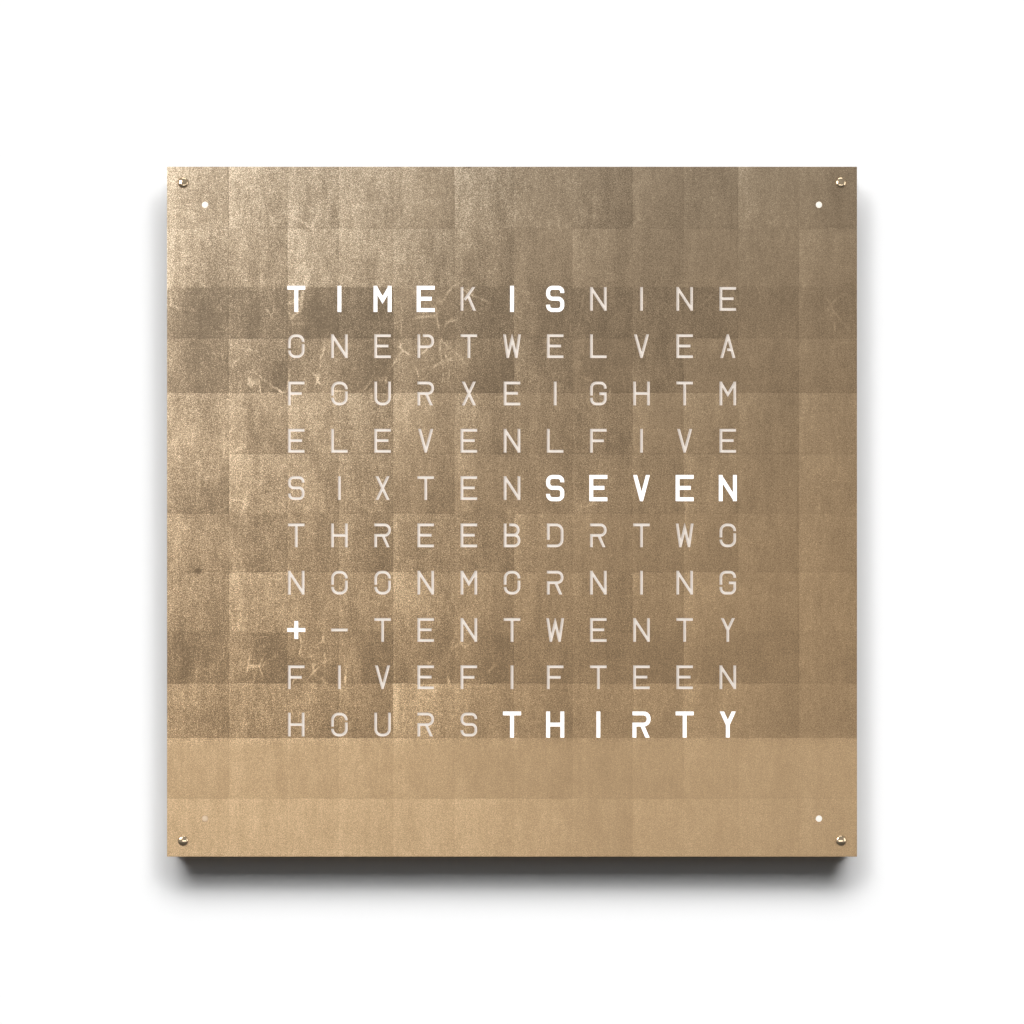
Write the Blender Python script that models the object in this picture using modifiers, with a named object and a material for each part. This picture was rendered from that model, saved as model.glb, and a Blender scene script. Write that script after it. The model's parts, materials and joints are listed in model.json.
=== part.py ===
"""Word clock: a square front plate pinned to a lacquered body that holds a lit matrix of letter cells.

Units are metres, +Z is up, the front faces -Y and the wall plane is Y = 0.
The origin is the centre of the body's back face.
"""

import math

import bmesh
import bpy
from mathutils import Matrix, Vector

# Overall sizes
SIDE = 0.900
DEPTH = 0.028
FIT_GAP = 0.0003
OVERRUN = 0.002
MERGE = 0.00002
SINK = 0.0003

# Front cover
COVER_THICK = 0.002
PIN_INSET = 0.0209
PIN_HOLE_R = 0.0033
MINUTE_INSET = 0.0496
MINUTE_HOLE_R = 0.00425

# Letter field
COLUMNS = 11
ROWS = 10
TOP_MARGIN = 0.1415

# Body
BODY_INSET = 0.006
BODY_EDGE = 0.001
BODY_BACK = 0.007

# Diffuser
DIFFUSER_THICK = 0.002
DIFFUSER_LAP = 0.009

# Light baffle
BAFFLE_RIM = 0.004
BAFFLE_CORNER = 0.009
BAFFLE_FLOOR = 0.002
CELL_WALL = 0.0035
CELL_DRAFT = 0.007
LED_WINDOW = 0.007

# LED strips and the bus board that joins them
BOARD_THICK = 0.0016
STRIP_HEIGHT = 0.012
STRIP_END = 0.008
LED_SIZE = 0.005
LED_HEIGHT = 0.0016
BUS_CLEAR = 0.00415
BUS_END = 0.0225

# Cover pins and their bushes
PIN_HEAD_R = 0.007
PIN_RIM = 0.0006
PIN_DOME = 0.0026
PIN_SHANK_R = 0.003
PIN_LENGTH = 0.0138
PIN_TIP = 0.0008
PIN_GROOVE_DEPTH = 0.0005
PIN_GROOVE_WIDTH = 0.0012
PIN_GROOVE_RISE = 0.003
BUSH_R = 0.006
BUSH_LENGTH = 0.012
BUSH_GROOVE_DEPTH = 0.0006
BUSH_GROOVES = 2

# Minute lights
LENS_R = 0.0077
LENS_FLANGE = 0.0015
LENS_RECESS = 0.0003
LENS_CHAMFER = 0.0004
CUP_LENGTH = 0.0039
CUP_WALL = 0.0012
CUP_HOLE_R = 0.003
MINUTE_LED = 0.0035
LEAD_R = 0.0008
LEAD_BEND = 0.002
LEAD_SPREAD = 0.005
GROOVE_WIDTH = 0.004

# Electronics bay in the back of the body
BAY_WIDTH = 0.100
BAY_HEIGHT = 0.240
BAY_WALL = 0.01805
BAY_DEPTH = 0.016
BAY_RISE = 0.094
SIDE_WALL = 0.012
CHANNEL_WIDTH = 0.014
CHANNEL_DEPTH = 0.0135
SERVICE_LIP = 0.008
SERVICE_THICK = 0.002

# Ribbon cable and its slot
RIBBON_WIDTH = 0.020
RIBBON_THICK = 0.0008
SLOT_CLEAR = 0.003
SLOT_PLAY = 0.0004

# Control board
CONTROL_MARGIN = 0.003
CONTROL_SIDE_GAP = 0.0035
HEADER_SIZE = (0.008, 0.007, 0.024)
HEADER_INSET = 0.003
HEADER_DROP = 0.018
CHIP_SIZE = (0.014, 0.0016, 0.014)
REGULATOR_SIZE = (0.010, 0.0045, 0.015)
CRYSTAL_SIZE = (0.011, 0.0035, 0.0045)
RECEIVER_SIZE = (0.020, 0.003, 0.010)
CAPACITOR_R = 0.004
CAPACITOR_HEIGHT = 0.010

# Push buttons on the side of the body
BUTTONS = 4
BUTTON_PITCH = 0.018
BUTTON_DROP = 0.025
BUTTON_TRAVEL = 0.0012
CAP_R = 0.003
CAP_FLANGE_R = 0.0042
CAP_FLANGE = 0.001
CAP_PROUD = 0.0025
CAP_EDGE = 0.0006
PLUNGER_R = 0.0015
PLUNGER_SEAT = 0.0012
SWITCH_SIZE = (0.0045, 0.006, 0.006)
SWITCH_INSET = 0.0005

# Coin cell and its holder
CELL_R = 0.010
CELL_THICK = 0.0032
HOLDER_WALL = 0.0022
HOLDER_FLOOR = 0.0012
HOLDER_HEIGHT = 0.0052

# DC inlet socket
SOCKET_SIZE = (0.009, 0.0108, 0.014)
SOCKET_INSET = 0.020
SOCKET_BORE_R = 0.0032
SOCKET_PIN_R = 0.001
SOCKET_BORE_DEPTH = 0.0095

# Time signal antenna
ROD_R = 0.004
ROD_LENGTH = 0.060
COIL_R = 0.0052
COIL_FLANGE_R = 0.006
COIL_FLANGE = 0.0015
COIL_LENGTH = 0.026
ANTENNA_DROP = 0.030
ANTENNA_ROOM = 0.067

# Keyhole hanger plates
HANGER_SPAN = 0.500
HANGER_DROP = 0.064
HANGER_WIDTH = 0.060
HANGER_HEIGHT = 0.030
HANGER_THICK = 0.002
KEYHOLE_ENTRY_R = 0.005
KEYHOLE_SLOT_R = 0.0025
KEYHOLE_TRAVEL = 0.013
HEAD_POCKET_SIDE = 0.002
HEAD_POCKET_DEPTH = 0.008

# Faces around a full turn
TURN_STEPS = 16
BORE_STEPS = 20
SMALL_STEPS = 12
SMOOTH_ANGLE = math.radians(35)

# Planes of the front cover and the body
HALF_SIDE = SIDE / 2
COVER_FRONT = -DEPTH
COVER_BACK = COVER_FRONT + COVER_THICK
BODY_FRONT = COVER_BACK + FIT_GAP
BODY_HALF = HALF_SIDE - BODY_INSET
PIN_PLACE = HALF_SIDE - PIN_INSET
MINUTE_PLACE = HALF_SIDE - MINUTE_INSET
BAY_RIGHT = BODY_HALF - SIDE_WALL
BAY_LEFT = BAY_RIGHT - BAY_WIDTH

# The letter field, which fills the cover's side but for the room beside it
POCKET_HALF_X = BAY_LEFT - BAY_WALL
BAFFLE_HALF_X = POCKET_HALF_X - FIT_GAP
COLUMN_PITCH = 2 * (BAFFLE_HALF_X - BAFFLE_RIM) / COLUMNS
ROW_PITCH = 2 * (HALF_SIDE - TOP_MARGIN) / ROWS

# The stack of lights in the front pocket, from the diffuser back to the pocket's floor
DIFFUSER_BACK = BODY_FRONT + DIFFUSER_THICK
BAFFLE_FRONT = DIFFUSER_BACK + FIT_GAP
POCKET_FLOOR = -BODY_BACK
STRIP_BACK = POCKET_FLOOR - FIT_GAP
STRIP_FRONT = STRIP_BACK - BOARD_THICK
STRIP_MIDDLE = STRIP_BACK - BOARD_THICK / 2
BAFFLE_BACK = STRIP_FRONT - FIT_GAP
CELL_FLOOR = BAFFLE_BACK - BAFFLE_FLOOR
BAFFLE_HALF_Z = ROWS * ROW_PITCH / 2 + BAFFLE_RIM
POCKET_HALF_Z = BAFFLE_HALF_Z + FIT_GAP
DIFFUSER_HALF_X = POCKET_HALF_X + DIFFUSER_LAP
DIFFUSER_HALF_Z = POCKET_HALF_Z + DIFFUSER_LAP
STRIP_HALF = (COLUMNS - 1) * COLUMN_PITCH / 2 + STRIP_END
BUS_LEFT = STRIP_HALF + FIT_GAP
BUS_WIDTH = POCKET_HALF_X - BUS_CLEAR - BUS_LEFT
BUS_RIGHT = BUS_LEFT + BUS_WIDTH
BUS_MIDDLE = (BUS_LEFT + BUS_RIGHT) / 2
BUS_HALF_Z = (ROWS - 1) * ROW_PITCH / 2 + BUS_END

# Planes of a minute light, from its lens back to the floor of its bore
MINUTE_BORE_R = LENS_R + FIT_GAP
LENS_BACK = BODY_FRONT + LENS_FLANGE
CUP_FRONT = LENS_BACK + FIT_GAP
CUP_BACK = CUP_FRONT + CUP_LENGTH
MINUTE_BOARD_FRONT = CUP_BACK + FIT_GAP
MINUTE_BOARD_BACK = MINUTE_BOARD_FRONT + BOARD_THICK
MINUTE_FLOOR = MINUTE_BOARD_BACK + FIT_GAP

# Pin bores
BUSH_BORE_R = BUSH_R + FIT_GAP
BUSH_FLOOR = BODY_FRONT + BUSH_LENGTH + FIT_GAP

# The bay and what stands in it
BAY_FLOOR = -BAY_DEPTH
BAY_BOTTOM = -BODY_HALF + BAY_RISE
BAY_TOP = BAY_BOTTOM + BAY_HEIGHT
SERVICE_BACK = -FIT_GAP
SERVICE_FRONT = SERVICE_BACK - SERVICE_THICK
CONTROL_FRONT = BAY_FLOOR + FIT_GAP
CONTROL_FACE = CONTROL_FRONT + BOARD_THICK
CONTROL_LEFT = BAY_LEFT + CONTROL_MARGIN
CONTROL_RIGHT = BAY_RIGHT - CONTROL_SIDE_GAP
CONTROL_BOTTOM = BAY_BOTTOM + CONTROL_MARGIN
CONTROL_TOP = BAY_TOP - ANTENNA_ROOM
CONTROL_WIDTH = CONTROL_RIGHT - CONTROL_LEFT
CONTROL_HEIGHT = CONTROL_TOP - CONTROL_BOTTOM
RIBBON_Z = CONTROL_TOP - HEADER_DROP
HEADER_LEFT = CONTROL_LEFT + HEADER_INSET
CHANNEL_X = BAY_LEFT + SOCKET_INSET
SOCKET_BOTTOM = BAY_BOTTOM + FIT_GAP
SOCKET_FACE = CONTROL_FACE + FIT_GAP
SOCKET_AXIS_Y = SOCKET_FACE + SOCKET_SIZE[1] / 2

# The buttons' axes and stops
SWITCH_FRONT = CONTROL_RIGHT - SWITCH_INSET
BUTTON_Y = CONTROL_FACE + SWITCH_SIZE[1] / 2
FLANGE_OUTER = BAY_RIGHT - FIT_GAP
FLANGE_INNER = FLANGE_OUTER - CAP_FLANGE
PLUNGER_OUTER = FLANGE_INNER - FIT_GAP
PLUNGER_INNER = SWITCH_FRONT - PLUNGER_SEAT
SWITCH_BORE_DEPTH = PLUNGER_SEAT + BUTTON_TRAVEL + 2 * FIT_GAP

# Where loose pieces stand on the control board, as shares of its width and height
CONTROL_PLACES_SHARES = {
    "chip": (0.46, 0.62),
    "regulator": (0.40, 0.16),
    "crystal": (0.46, 0.49),
    "receiver": (0.38, 0.93),
    "capacitor_1": (0.24, 0.26),
    "capacitor_2": (0.36, 0.27),
    "coin_cell": (0.70, 0.20),
}

# Material values: colour, roughness, metallic
FINISHES = {
    "leafed_metal": ((0.36, 0.25, 0.16), 0.45, 0.8),
    "steel": ((0.60, 0.56, 0.50), 0.2, 1.0),
    "lacquer": ((0.055, 0.045, 0.038), 0.35, 0.0),
    "opal": ((0.90, 0.86, 0.80), 0.5, 0.0),
    "white_plastic": ((0.80, 0.80, 0.78), 0.6, 0.0),
    "white_board": ((0.75, 0.76, 0.74), 0.5, 0.0),
    "green_board": ((0.02, 0.16, 0.07), 0.4, 0.0),
    "brass": ((0.62, 0.46, 0.20), 0.35, 1.0),
    "grey_cable": ((0.35, 0.35, 0.36), 0.5, 0.0),
    "black_plastic": ((0.02, 0.02, 0.02), 0.45, 0.0),
    "zinc": ((0.55, 0.55, 0.56), 0.35, 1.0),
    "ferrite": ((0.05, 0.05, 0.055), 0.6, 0.0),
    "copper_winding": ((0.50, 0.20, 0.08), 0.35, 0.6),
}

TOWARDS_VIEWER = Matrix.Rotation(math.pi / 2, 4, "X")
TOWARDS_WALL = Matrix.Rotation(-math.pi / 2, 4, "X")
TOWARDS_RIGHT = Matrix.Rotation(math.pi / 2, 4, "Y")
CORNERS = {
    "top_left": (-1, 1),
    "top_right": (1, 1),
    "bottom_left": (-1, -1),
    "bottom_right": (1, -1),
}


def start_scene():
    """Empties the scene and makes one collection for the parts and one for the cutters."""
    for old in list(bpy.data.objects):
        bpy.data.objects.remove(old)
    collections = []
    for name in ("word_clock", "cutters"):
        collection = bpy.data.collections.new(name)
        bpy.context.scene.collection.children.link(collection)
        collections.append(collection)
    return collections


PARTS, CUTTERS = start_scene()


def finish(name):
    """Returns the material of one of the finishes, made on its first use."""
    if name in bpy.data.materials:
        return bpy.data.materials[name]
    colour, roughness, metallic = FINISHES[name]
    material = bpy.data.materials.new(name)
    material.use_nodes = True
    shader = material.node_tree.nodes["Principled BSDF"]
    shader.inputs["Base Color"].default_value = (*colour, 1)
    shader.inputs["Roughness"].default_value = roughness
    shader.inputs["Metallic"].default_value = metallic
    material.diffuse_color = (*colour, 1)
    return material


def place_part(name, mesh, material):
    """Makes a part's object from a mesh and gives it its material."""
    part = bpy.data.objects.new(name, mesh)
    PARTS.objects.link(part)
    if not mesh.materials:
        mesh.materials.append(finish(material))
    return part


def as_cutter(thing):
    """Moves an object to the cutters, which are never rendered."""
    for collection in thing.users_collection:
        collection.objects.unlink(thing)
    CUTTERS.objects.link(thing)
    thing.hide_render = True
    thing.display_type = "WIRE"
    return thing


def mesh_from(name, build):
    """Builds a mesh with a function that fills a bmesh."""
    mesh = bpy.data.meshes.new(name)
    work = bmesh.new()
    build(work)
    work.to_mesh(mesh)
    work.free()
    return mesh


def add_box(work, low, high):
    """Adds a box between two corners and returns its vertices."""
    size = [top - bottom for bottom, top in zip(low, high)]
    middle = [(top + bottom) / 2 for bottom, top in zip(low, high)]
    matrix = Matrix.Translation(middle) @ Matrix.Diagonal((*size, 1))
    return bmesh.ops.create_cube(work, size=1, matrix=matrix)["verts"]


def add_cylinder(work, middle, radius, length, direction, steps):
    """Adds a capped cylinder whose axis is local Z turned by a rotation matrix."""
    matrix = Matrix.Translation(middle) @ direction
    made = bmesh.ops.create_cone(
        work, cap_ends=True, segments=steps, radius1=radius, radius2=radius, depth=length, matrix=matrix
    )
    return made["verts"]


def box_part(name, low, high, material):
    """Makes a part that is a plain box between two corners."""
    return place_part(name, mesh_from(name, lambda work: add_box(work, low, high)), material)


def cutter(name, build):
    """Makes a cutter or a piece to be fused, from a function that fills a bmesh."""
    thing = bpy.data.objects.new(name, mesh_from(name, build))
    CUTTERS.objects.link(thing)
    return as_cutter(thing)


def combine(part, other, operation):
    """Adds an exact Boolean between a part and a cutter."""
    modifier = part.modifiers.new(other.name, "BOOLEAN")
    modifier.operation = operation
    modifier.object = other
    modifier.solver = "EXACT"


def cut(part, name, build):
    """Cuts from a part what a function builds."""
    combine(part, cutter(name, build), "DIFFERENCE")


def fuse(part, name, build):
    """Joins to a part what a function builds."""
    combine(part, cutter(name, build), "UNION")


def bake(part):
    """Applies a part's modifiers to its mesh, so that copies can share it."""
    graph = bpy.context.evaluated_depsgraph_get()
    mesh = bpy.data.meshes.new_from_object(part.evaluated_get(graph))
    part.modifiers.clear()
    part.data = mesh
    mesh.name = part.name
    return mesh


def turned_mesh(name, profile, steps, closed=False):
    """Turns a profile of (radius, height) points about Z. A closed profile makes a ring."""
    mesh = bpy.data.meshes.new(name)
    points = [(radius, 0, height) for radius, height in profile]
    edges = [(index, index + 1) for index in range(len(points) - 1)]
    if closed:
        edges.append((len(points) - 1, 0))
    mesh.from_pydata(points, edges, [])
    holder = bpy.data.objects.new(name, mesh)
    CUTTERS.objects.link(holder)
    turn = holder.modifiers.new("turn", "SCREW")
    turn.angle = 2 * math.pi
    turn.steps = steps
    turn.render_steps = steps
    turn.use_merge_vertices = True
    turn.merge_threshold = MERGE
    turned = bake(holder)
    bpy.data.objects.remove(holder)
    turned.shade_smooth()
    turned.set_sharp_from_angle(angle=SMOOTH_ANGLE)
    return turned


def smooth_round(part):
    """Shades a part smooth and keeps its real edges sharp."""
    part.data.shade_smooth()
    part.data.set_sharp_from_angle(angle=SMOOTH_ANGLE)


def corner_places(inset_place):
    """Yields each corner's name, its two signs and its place in the front plane."""
    for name, (side, level) in CORNERS.items():
        yield name, side, level, side * inset_place, level * inset_place


def make_front_cover():
    """Makes the square plate with its pin holes and minute holes."""
    cover = box_part(
        "front_cover",
        (-HALF_SIDE, COVER_FRONT, -HALF_SIDE),
        (HALF_SIDE, COVER_BACK, HALF_SIDE),
        "leafed_metal",
    )

    def holes(work):
        for place, radius in ((PIN_PLACE, PIN_HOLE_R), (MINUTE_PLACE, MINUTE_HOLE_R)):
            for _, _, _, x, z in corner_places(place):
                middle = (x, (COVER_FRONT + COVER_BACK) / 2, z)
                add_cylinder(work, middle, radius, COVER_THICK + 2 * OVERRUN, TOWARDS_VIEWER, BORE_STEPS)

    cut(cover, "cover_holes", holes)


def lead_void(side, level):
    """Returns the point beside the baffle's cut corner where a minute light's lead goes down."""
    step_in = BAFFLE_CORNER / 3
    return side * (POCKET_HALF_X - step_in), level * (POCKET_HALF_Z - step_in)


def make_body():
    """Makes the lacquered slab with its front pocket, corner bores, rear bay and recesses."""

    def slab(work):
        add_box(work, (-BODY_HALF, BODY_FRONT, -BODY_HALF), (BODY_HALF, 0, BODY_HALF))
        bmesh.ops.bevel(work, geom=work.edges[:], offset=BODY_EDGE, segments=2, profile=0.5, affect="EDGES")

    body = place_part("body", mesh_from("body", slab), "lacquer")

    def pocket(work):
        add_box(
            work,
            (-POCKET_HALF_X, BODY_FRONT - OVERRUN, -POCKET_HALF_Z),
            (POCKET_HALF_X, POCKET_FLOOR, POCKET_HALF_Z),
        )

    def rebate(work):
        half_x = DIFFUSER_HALF_X + FIT_GAP
        half_z = DIFFUSER_HALF_Z + FIT_GAP
        add_box(work, (-half_x, BODY_FRONT - OVERRUN, -half_z), (half_x, BAFFLE_FRONT, half_z))

    def front_bores(place, radius, floor):
        def build(work):
            top = BODY_FRONT - OVERRUN
            for _, _, _, x, z in corner_places(place):
                middle = (x, (top + floor) / 2, z)
                add_cylinder(work, middle, radius, floor - top, TOWARDS_VIEWER, BORE_STEPS)

        return build

    def lead_grooves(work):
        for _, side, level, x, z in corner_places(MINUTE_PLACE):
            void_x, void_z = lead_void(side, level)
            run = Vector((void_x - x, 0, void_z - z))
            low = (0, BODY_FRONT - OVERRUN, -GROOVE_WIDTH / 2)
            high = (run.length, MINUTE_FLOOR, GROOVE_WIDTH / 2)
            swing = Matrix.Rotation(-math.atan2(run.z, run.x), 4, "Y")
            bmesh.ops.transform(
                work, verts=add_box(work, low, high), matrix=Matrix.Translation((x, 0, z)) @ swing
            )

    def bay(work):
        add_box(work, (BAY_LEFT, BAY_FLOOR, BAY_BOTTOM), (BAY_RIGHT, OVERRUN, BAY_TOP))

    def service_recess(work):
        lip = SERVICE_LIP + FIT_GAP
        add_box(
            work,
            (BAY_LEFT - lip, SERVICE_FRONT - FIT_GAP, BAY_BOTTOM - lip),
            (BAY_RIGHT + lip, OVERRUN, BAY_TOP + lip),
        )

    def cable_channel(work):
        add_box(
            work,
            (CHANNEL_X - CHANNEL_WIDTH / 2, -CHANNEL_DEPTH, -BODY_HALF - OVERRUN),
            (CHANNEL_X + CHANNEL_WIDTH / 2, OVERRUN, BAY_BOTTOM + OVERRUN),
        )

    def ribbon_slot(work):
        half_y = RIBBON_THICK / 2 + SLOT_PLAY
        half_z = RIBBON_WIDTH / 2 + SLOT_CLEAR
        add_box(
            work,
            (POCKET_HALF_X - OVERRUN, STRIP_MIDDLE - half_y, RIBBON_Z - half_z),
            (BAY_LEFT + OVERRUN, STRIP_MIDDLE + half_y, RIBBON_Z + half_z),
        )

    def button_bores(work):
        start = BAY_RIGHT - OVERRUN
        end = BODY_HALF + OVERRUN
        for z in button_levels():
            middle = ((start + end) / 2, BUTTON_Y, z)
            add_cylinder(work, middle, CAP_R + FIT_GAP, end - start, TOWARDS_RIGHT, BORE_STEPS)

    def hanger_recesses(work):
        for x in hanger_places():
            half_x = HANGER_WIDTH / 2 + FIT_GAP
            half_z = HANGER_HEIGHT / 2 + FIT_GAP
            middle = BODY_HALF - HANGER_DROP
            add_box(
                work,
                (x - half_x, -HANGER_THICK - FIT_GAP, middle - half_z),
                (x + half_x, OVERRUN, middle + half_z),
            )

    def head_pockets(work):
        reach = KEYHOLE_ENTRY_R + HEAD_POCKET_SIDE
        for x in hanger_places():
            entry_z, slot_z = keyhole_levels()
            add_box(
                work,
                (x - reach, -HANGER_THICK - HEAD_POCKET_DEPTH, entry_z - reach),
                (x + reach, OVERRUN, slot_z + reach),
            )

    cut(body, "pocket", pocket)
    cut(body, "rebate", rebate)
    cut(body, "minute_bores", front_bores(MINUTE_PLACE, MINUTE_BORE_R, MINUTE_FLOOR))
    cut(body, "pin_bores", front_bores(PIN_PLACE, BUSH_BORE_R, BUSH_FLOOR))
    cut(body, "lead_grooves", lead_grooves)
    cut(body, "bay", bay)
    cut(body, "service_recess", service_recess)
    cut(body, "cable_channel", cable_channel)
    cut(body, "ribbon_slot", ribbon_slot)
    cut(body, "button_bores", button_bores)
    cut(body, "hanger_recesses", hanger_recesses)
    cut(body, "head_pockets", head_pockets)
    smooth_round(body)


def make_diffuser():
    """Makes the opal sheet that lies behind the letters."""
    box_part(
        "diffuser_sheet",
        (-DIFFUSER_HALF_X, BODY_FRONT, -DIFFUSER_HALF_Z),
        (DIFFUSER_HALF_X, DIFFUSER_BACK, DIFFUSER_HALF_Z),
        "opal",
    )


def cell_centres():
    """Yields the middle of each letter cell, row by row from the top."""
    for row in range(ROWS):
        for column in range(COLUMNS):
            yield (column - (COLUMNS - 1) / 2) * COLUMN_PITCH, ((ROWS - 1) / 2 - row) * ROW_PITCH


def add_funnel(work, x, z):
    """Adds the hollow of one cell, which narrows from the baffle's front to the cell's floor."""
    half_x = (COLUMN_PITCH - CELL_WALL) / 2
    half_z = (ROW_PITCH - CELL_WALL) / 2
    depth = CELL_FLOOR - BAFFLE_FRONT
    draft_rate = CELL_DRAFT / depth
    top = BAFFLE_FRONT - OVERRUN
    for vertex in add_box(work, (x - half_x, top, z - half_z), (x + half_x, CELL_FLOOR, z + half_z)):
        inward = (vertex.co.y - BAFFLE_FRONT) * draft_rate
        vertex.co.x -= math.copysign(inward, vertex.co.x - x)
        vertex.co.z -= math.copysign(inward, vertex.co.z - z)


def make_light_baffle():
    """Makes the moulded lattice: a tapered cell for each letter and a window in each floor."""

    def slab(work):
        add_box(
            work,
            (-BAFFLE_HALF_X, BAFFLE_FRONT, -BAFFLE_HALF_Z),
            (BAFFLE_HALF_X, BAFFLE_BACK, BAFFLE_HALF_Z),
        )
        upright = [edge for edge in work.edges if edge.verts[0].co.xz == edge.verts[1].co.xz]
        bmesh.ops.bevel(work, geom=upright, offset=BAFFLE_CORNER, segments=1, affect="EDGES")

    baffle = place_part("light_baffle", mesh_from("light_baffle", slab), "white_plastic")

    def cells(work):
        for x, z in cell_centres():
            add_funnel(work, x, z)

    def windows(work):
        half = LED_WINDOW / 2
        middle = (CELL_FLOOR + BAFFLE_BACK) / 2
        reach = BAFFLE_FLOOR / 2 + OVERRUN
        for x, z in cell_centres():
            add_box(work, (x - half, middle - reach, z - half), (x + half, middle + reach, z + half))

    cut(baffle, "cells", cells)
    cut(baffle, "led_windows", windows)


def make_led_strips():
    """Makes ten equal strips, one behind each row of letters, each with a light for each letter."""

    def board(work):
        add_box(
            work, (-STRIP_HALF, STRIP_FRONT, -STRIP_HEIGHT / 2), (STRIP_HALF, STRIP_BACK, STRIP_HEIGHT / 2)
        )

    def leds(work):
        half = LED_SIZE / 2
        for column in range(COLUMNS):
            x = (column - (COLUMNS - 1) / 2) * COLUMN_PITCH
            add_box(
                work,
                (x - half, STRIP_FRONT - LED_HEIGHT, -half),
                (x + half, STRIP_FRONT + SINK, half),
            )

    first = place_part("led_strip_01", mesh_from("led_strip", board), "white_board")
    fuse(first, "leds", leds)
    shared = bake(first)
    for row in range(ROWS):
        strip = first if row == 0 else place_part(f"led_strip_{row + 1:02d}", shared, "white_board")
        strip.location.z = ((ROWS - 1) / 2 - row) * ROW_PITCH


def make_bus_board():
    """Makes the upright board that feeds the strips, and the ribbon cable to the control board."""
    box_part(
        "bus_board", (BUS_LEFT, STRIP_FRONT, -BUS_HALF_Z), (BUS_RIGHT, STRIP_BACK, BUS_HALF_Z), "green_board"
    )
    box_part(
        "ribbon_cable",
        (BUS_RIGHT + FIT_GAP, STRIP_MIDDLE - RIBBON_THICK / 2, RIBBON_Z - RIBBON_WIDTH / 2),
        (HEADER_LEFT - FIT_GAP, STRIP_MIDDLE + RIBBON_THICK / 2, RIBBON_Z + RIBBON_WIDTH / 2),
        "grey_cable",
    )


def dome_profile(radius, rim, rise, steps):
    """Returns the (radius, height) points of a domed head, from its top down to its rim's foot."""
    ball = (radius**2 + rise**2) / (2 * rise)
    widest = math.asin(radius / ball)
    points = []
    for step in range(steps + 1):
        angle = widest * step / steps
        points.append((ball * math.sin(angle), rim + rise - ball * (1 - math.cos(angle))))
    return [*points, (radius, 0)]


def make_cover_pins():
    """Makes the four domed pins that hold the cover, and the bushes that they push into."""
    groove_top = -PIN_LENGTH + PIN_GROOVE_RISE
    groove_r = PIN_SHANK_R - PIN_GROOVE_DEPTH
    pin_profile = [
        *dome_profile(PIN_HEAD_R, PIN_RIM, PIN_DOME, 4),
        (PIN_SHANK_R, 0),
        (PIN_SHANK_R, groove_top),
        (groove_r, groove_top),
        (groove_r, groove_top - PIN_GROOVE_WIDTH),
        (PIN_SHANK_R, groove_top - PIN_GROOVE_WIDTH),
        (PIN_SHANK_R, -PIN_LENGTH + PIN_TIP),
        (PIN_SHANK_R - PIN_TIP, -PIN_LENGTH),
        (0, -PIN_LENGTH),
    ]
    bush_profile = [(PIN_HOLE_R, 0), (BUSH_R, 0)]
    band = BUSH_LENGTH / (2 * BUSH_GROOVES + 1)
    for groove in range(BUSH_GROOVES):
        start = -band * (2 * groove + 1)
        bush_profile += [
            (BUSH_R, start),
            (BUSH_R - BUSH_GROOVE_DEPTH, start),
            (BUSH_R - BUSH_GROOVE_DEPTH, start - band),
            (BUSH_R, start - band),
        ]
    bush_profile += [(BUSH_R, -BUSH_LENGTH), (PIN_HOLE_R, -BUSH_LENGTH)]
    pin_mesh = turned_mesh("cover_pin", pin_profile, TURN_STEPS)
    bush_mesh = turned_mesh("pin_bush", bush_profile, SMALL_STEPS, closed=True)
    for corner, _, _, x, z in corner_places(PIN_PLACE):
        pin = place_part(f"cover_pin_{corner}", pin_mesh, "steel")
        pin.matrix_world = Matrix.Translation((x, COVER_FRONT - FIT_GAP, z)) @ TOWARDS_VIEWER
        bush = place_part(f"pin_bush_{corner}", bush_mesh, "brass")
        bush.matrix_world = Matrix.Translation((x, BODY_FRONT, z)) @ TOWARDS_VIEWER


def rounded_route(points, radius, steps):
    """Returns a route with each inner corner blended, over half of the shorter leg at most."""
    route = [Vector(points[0])]
    for before, corner, after in zip(points, points[1:], points[2:]):
        corner = Vector(corner)
        leg_in = Vector(before) - corner
        leg_out = Vector(after) - corner
        reach = min(radius, leg_in.length / 2, leg_out.length / 2)
        start = corner + leg_in.normalized() * reach
        end = corner + leg_out.normalized() * reach
        for step in range(steps + 1):
            share = step / steps
            route.append(start.lerp(corner, share).lerp(corner.lerp(end, share), share))
    route.append(Vector(points[-1]))
    return route


def tube_part(name, route, radius, material):
    """Makes a round lead along a route, as a curve with filled caps."""
    curve = bpy.data.curves.new(name, "CURVE")
    curve.dimensions = "3D"
    curve.bevel_depth = radius
    curve.bevel_resolution = 2
    curve.use_fill_caps = True
    spline = curve.splines.new("POLY")
    spline.points.add(len(route) - 1)
    for point, place in zip(spline.points, route):
        point.co = (*place, 1)
    lead = bpy.data.objects.new(name, curve)
    PARTS.objects.link(lead)
    curve.materials.append(finish(material))
    return lead


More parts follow.
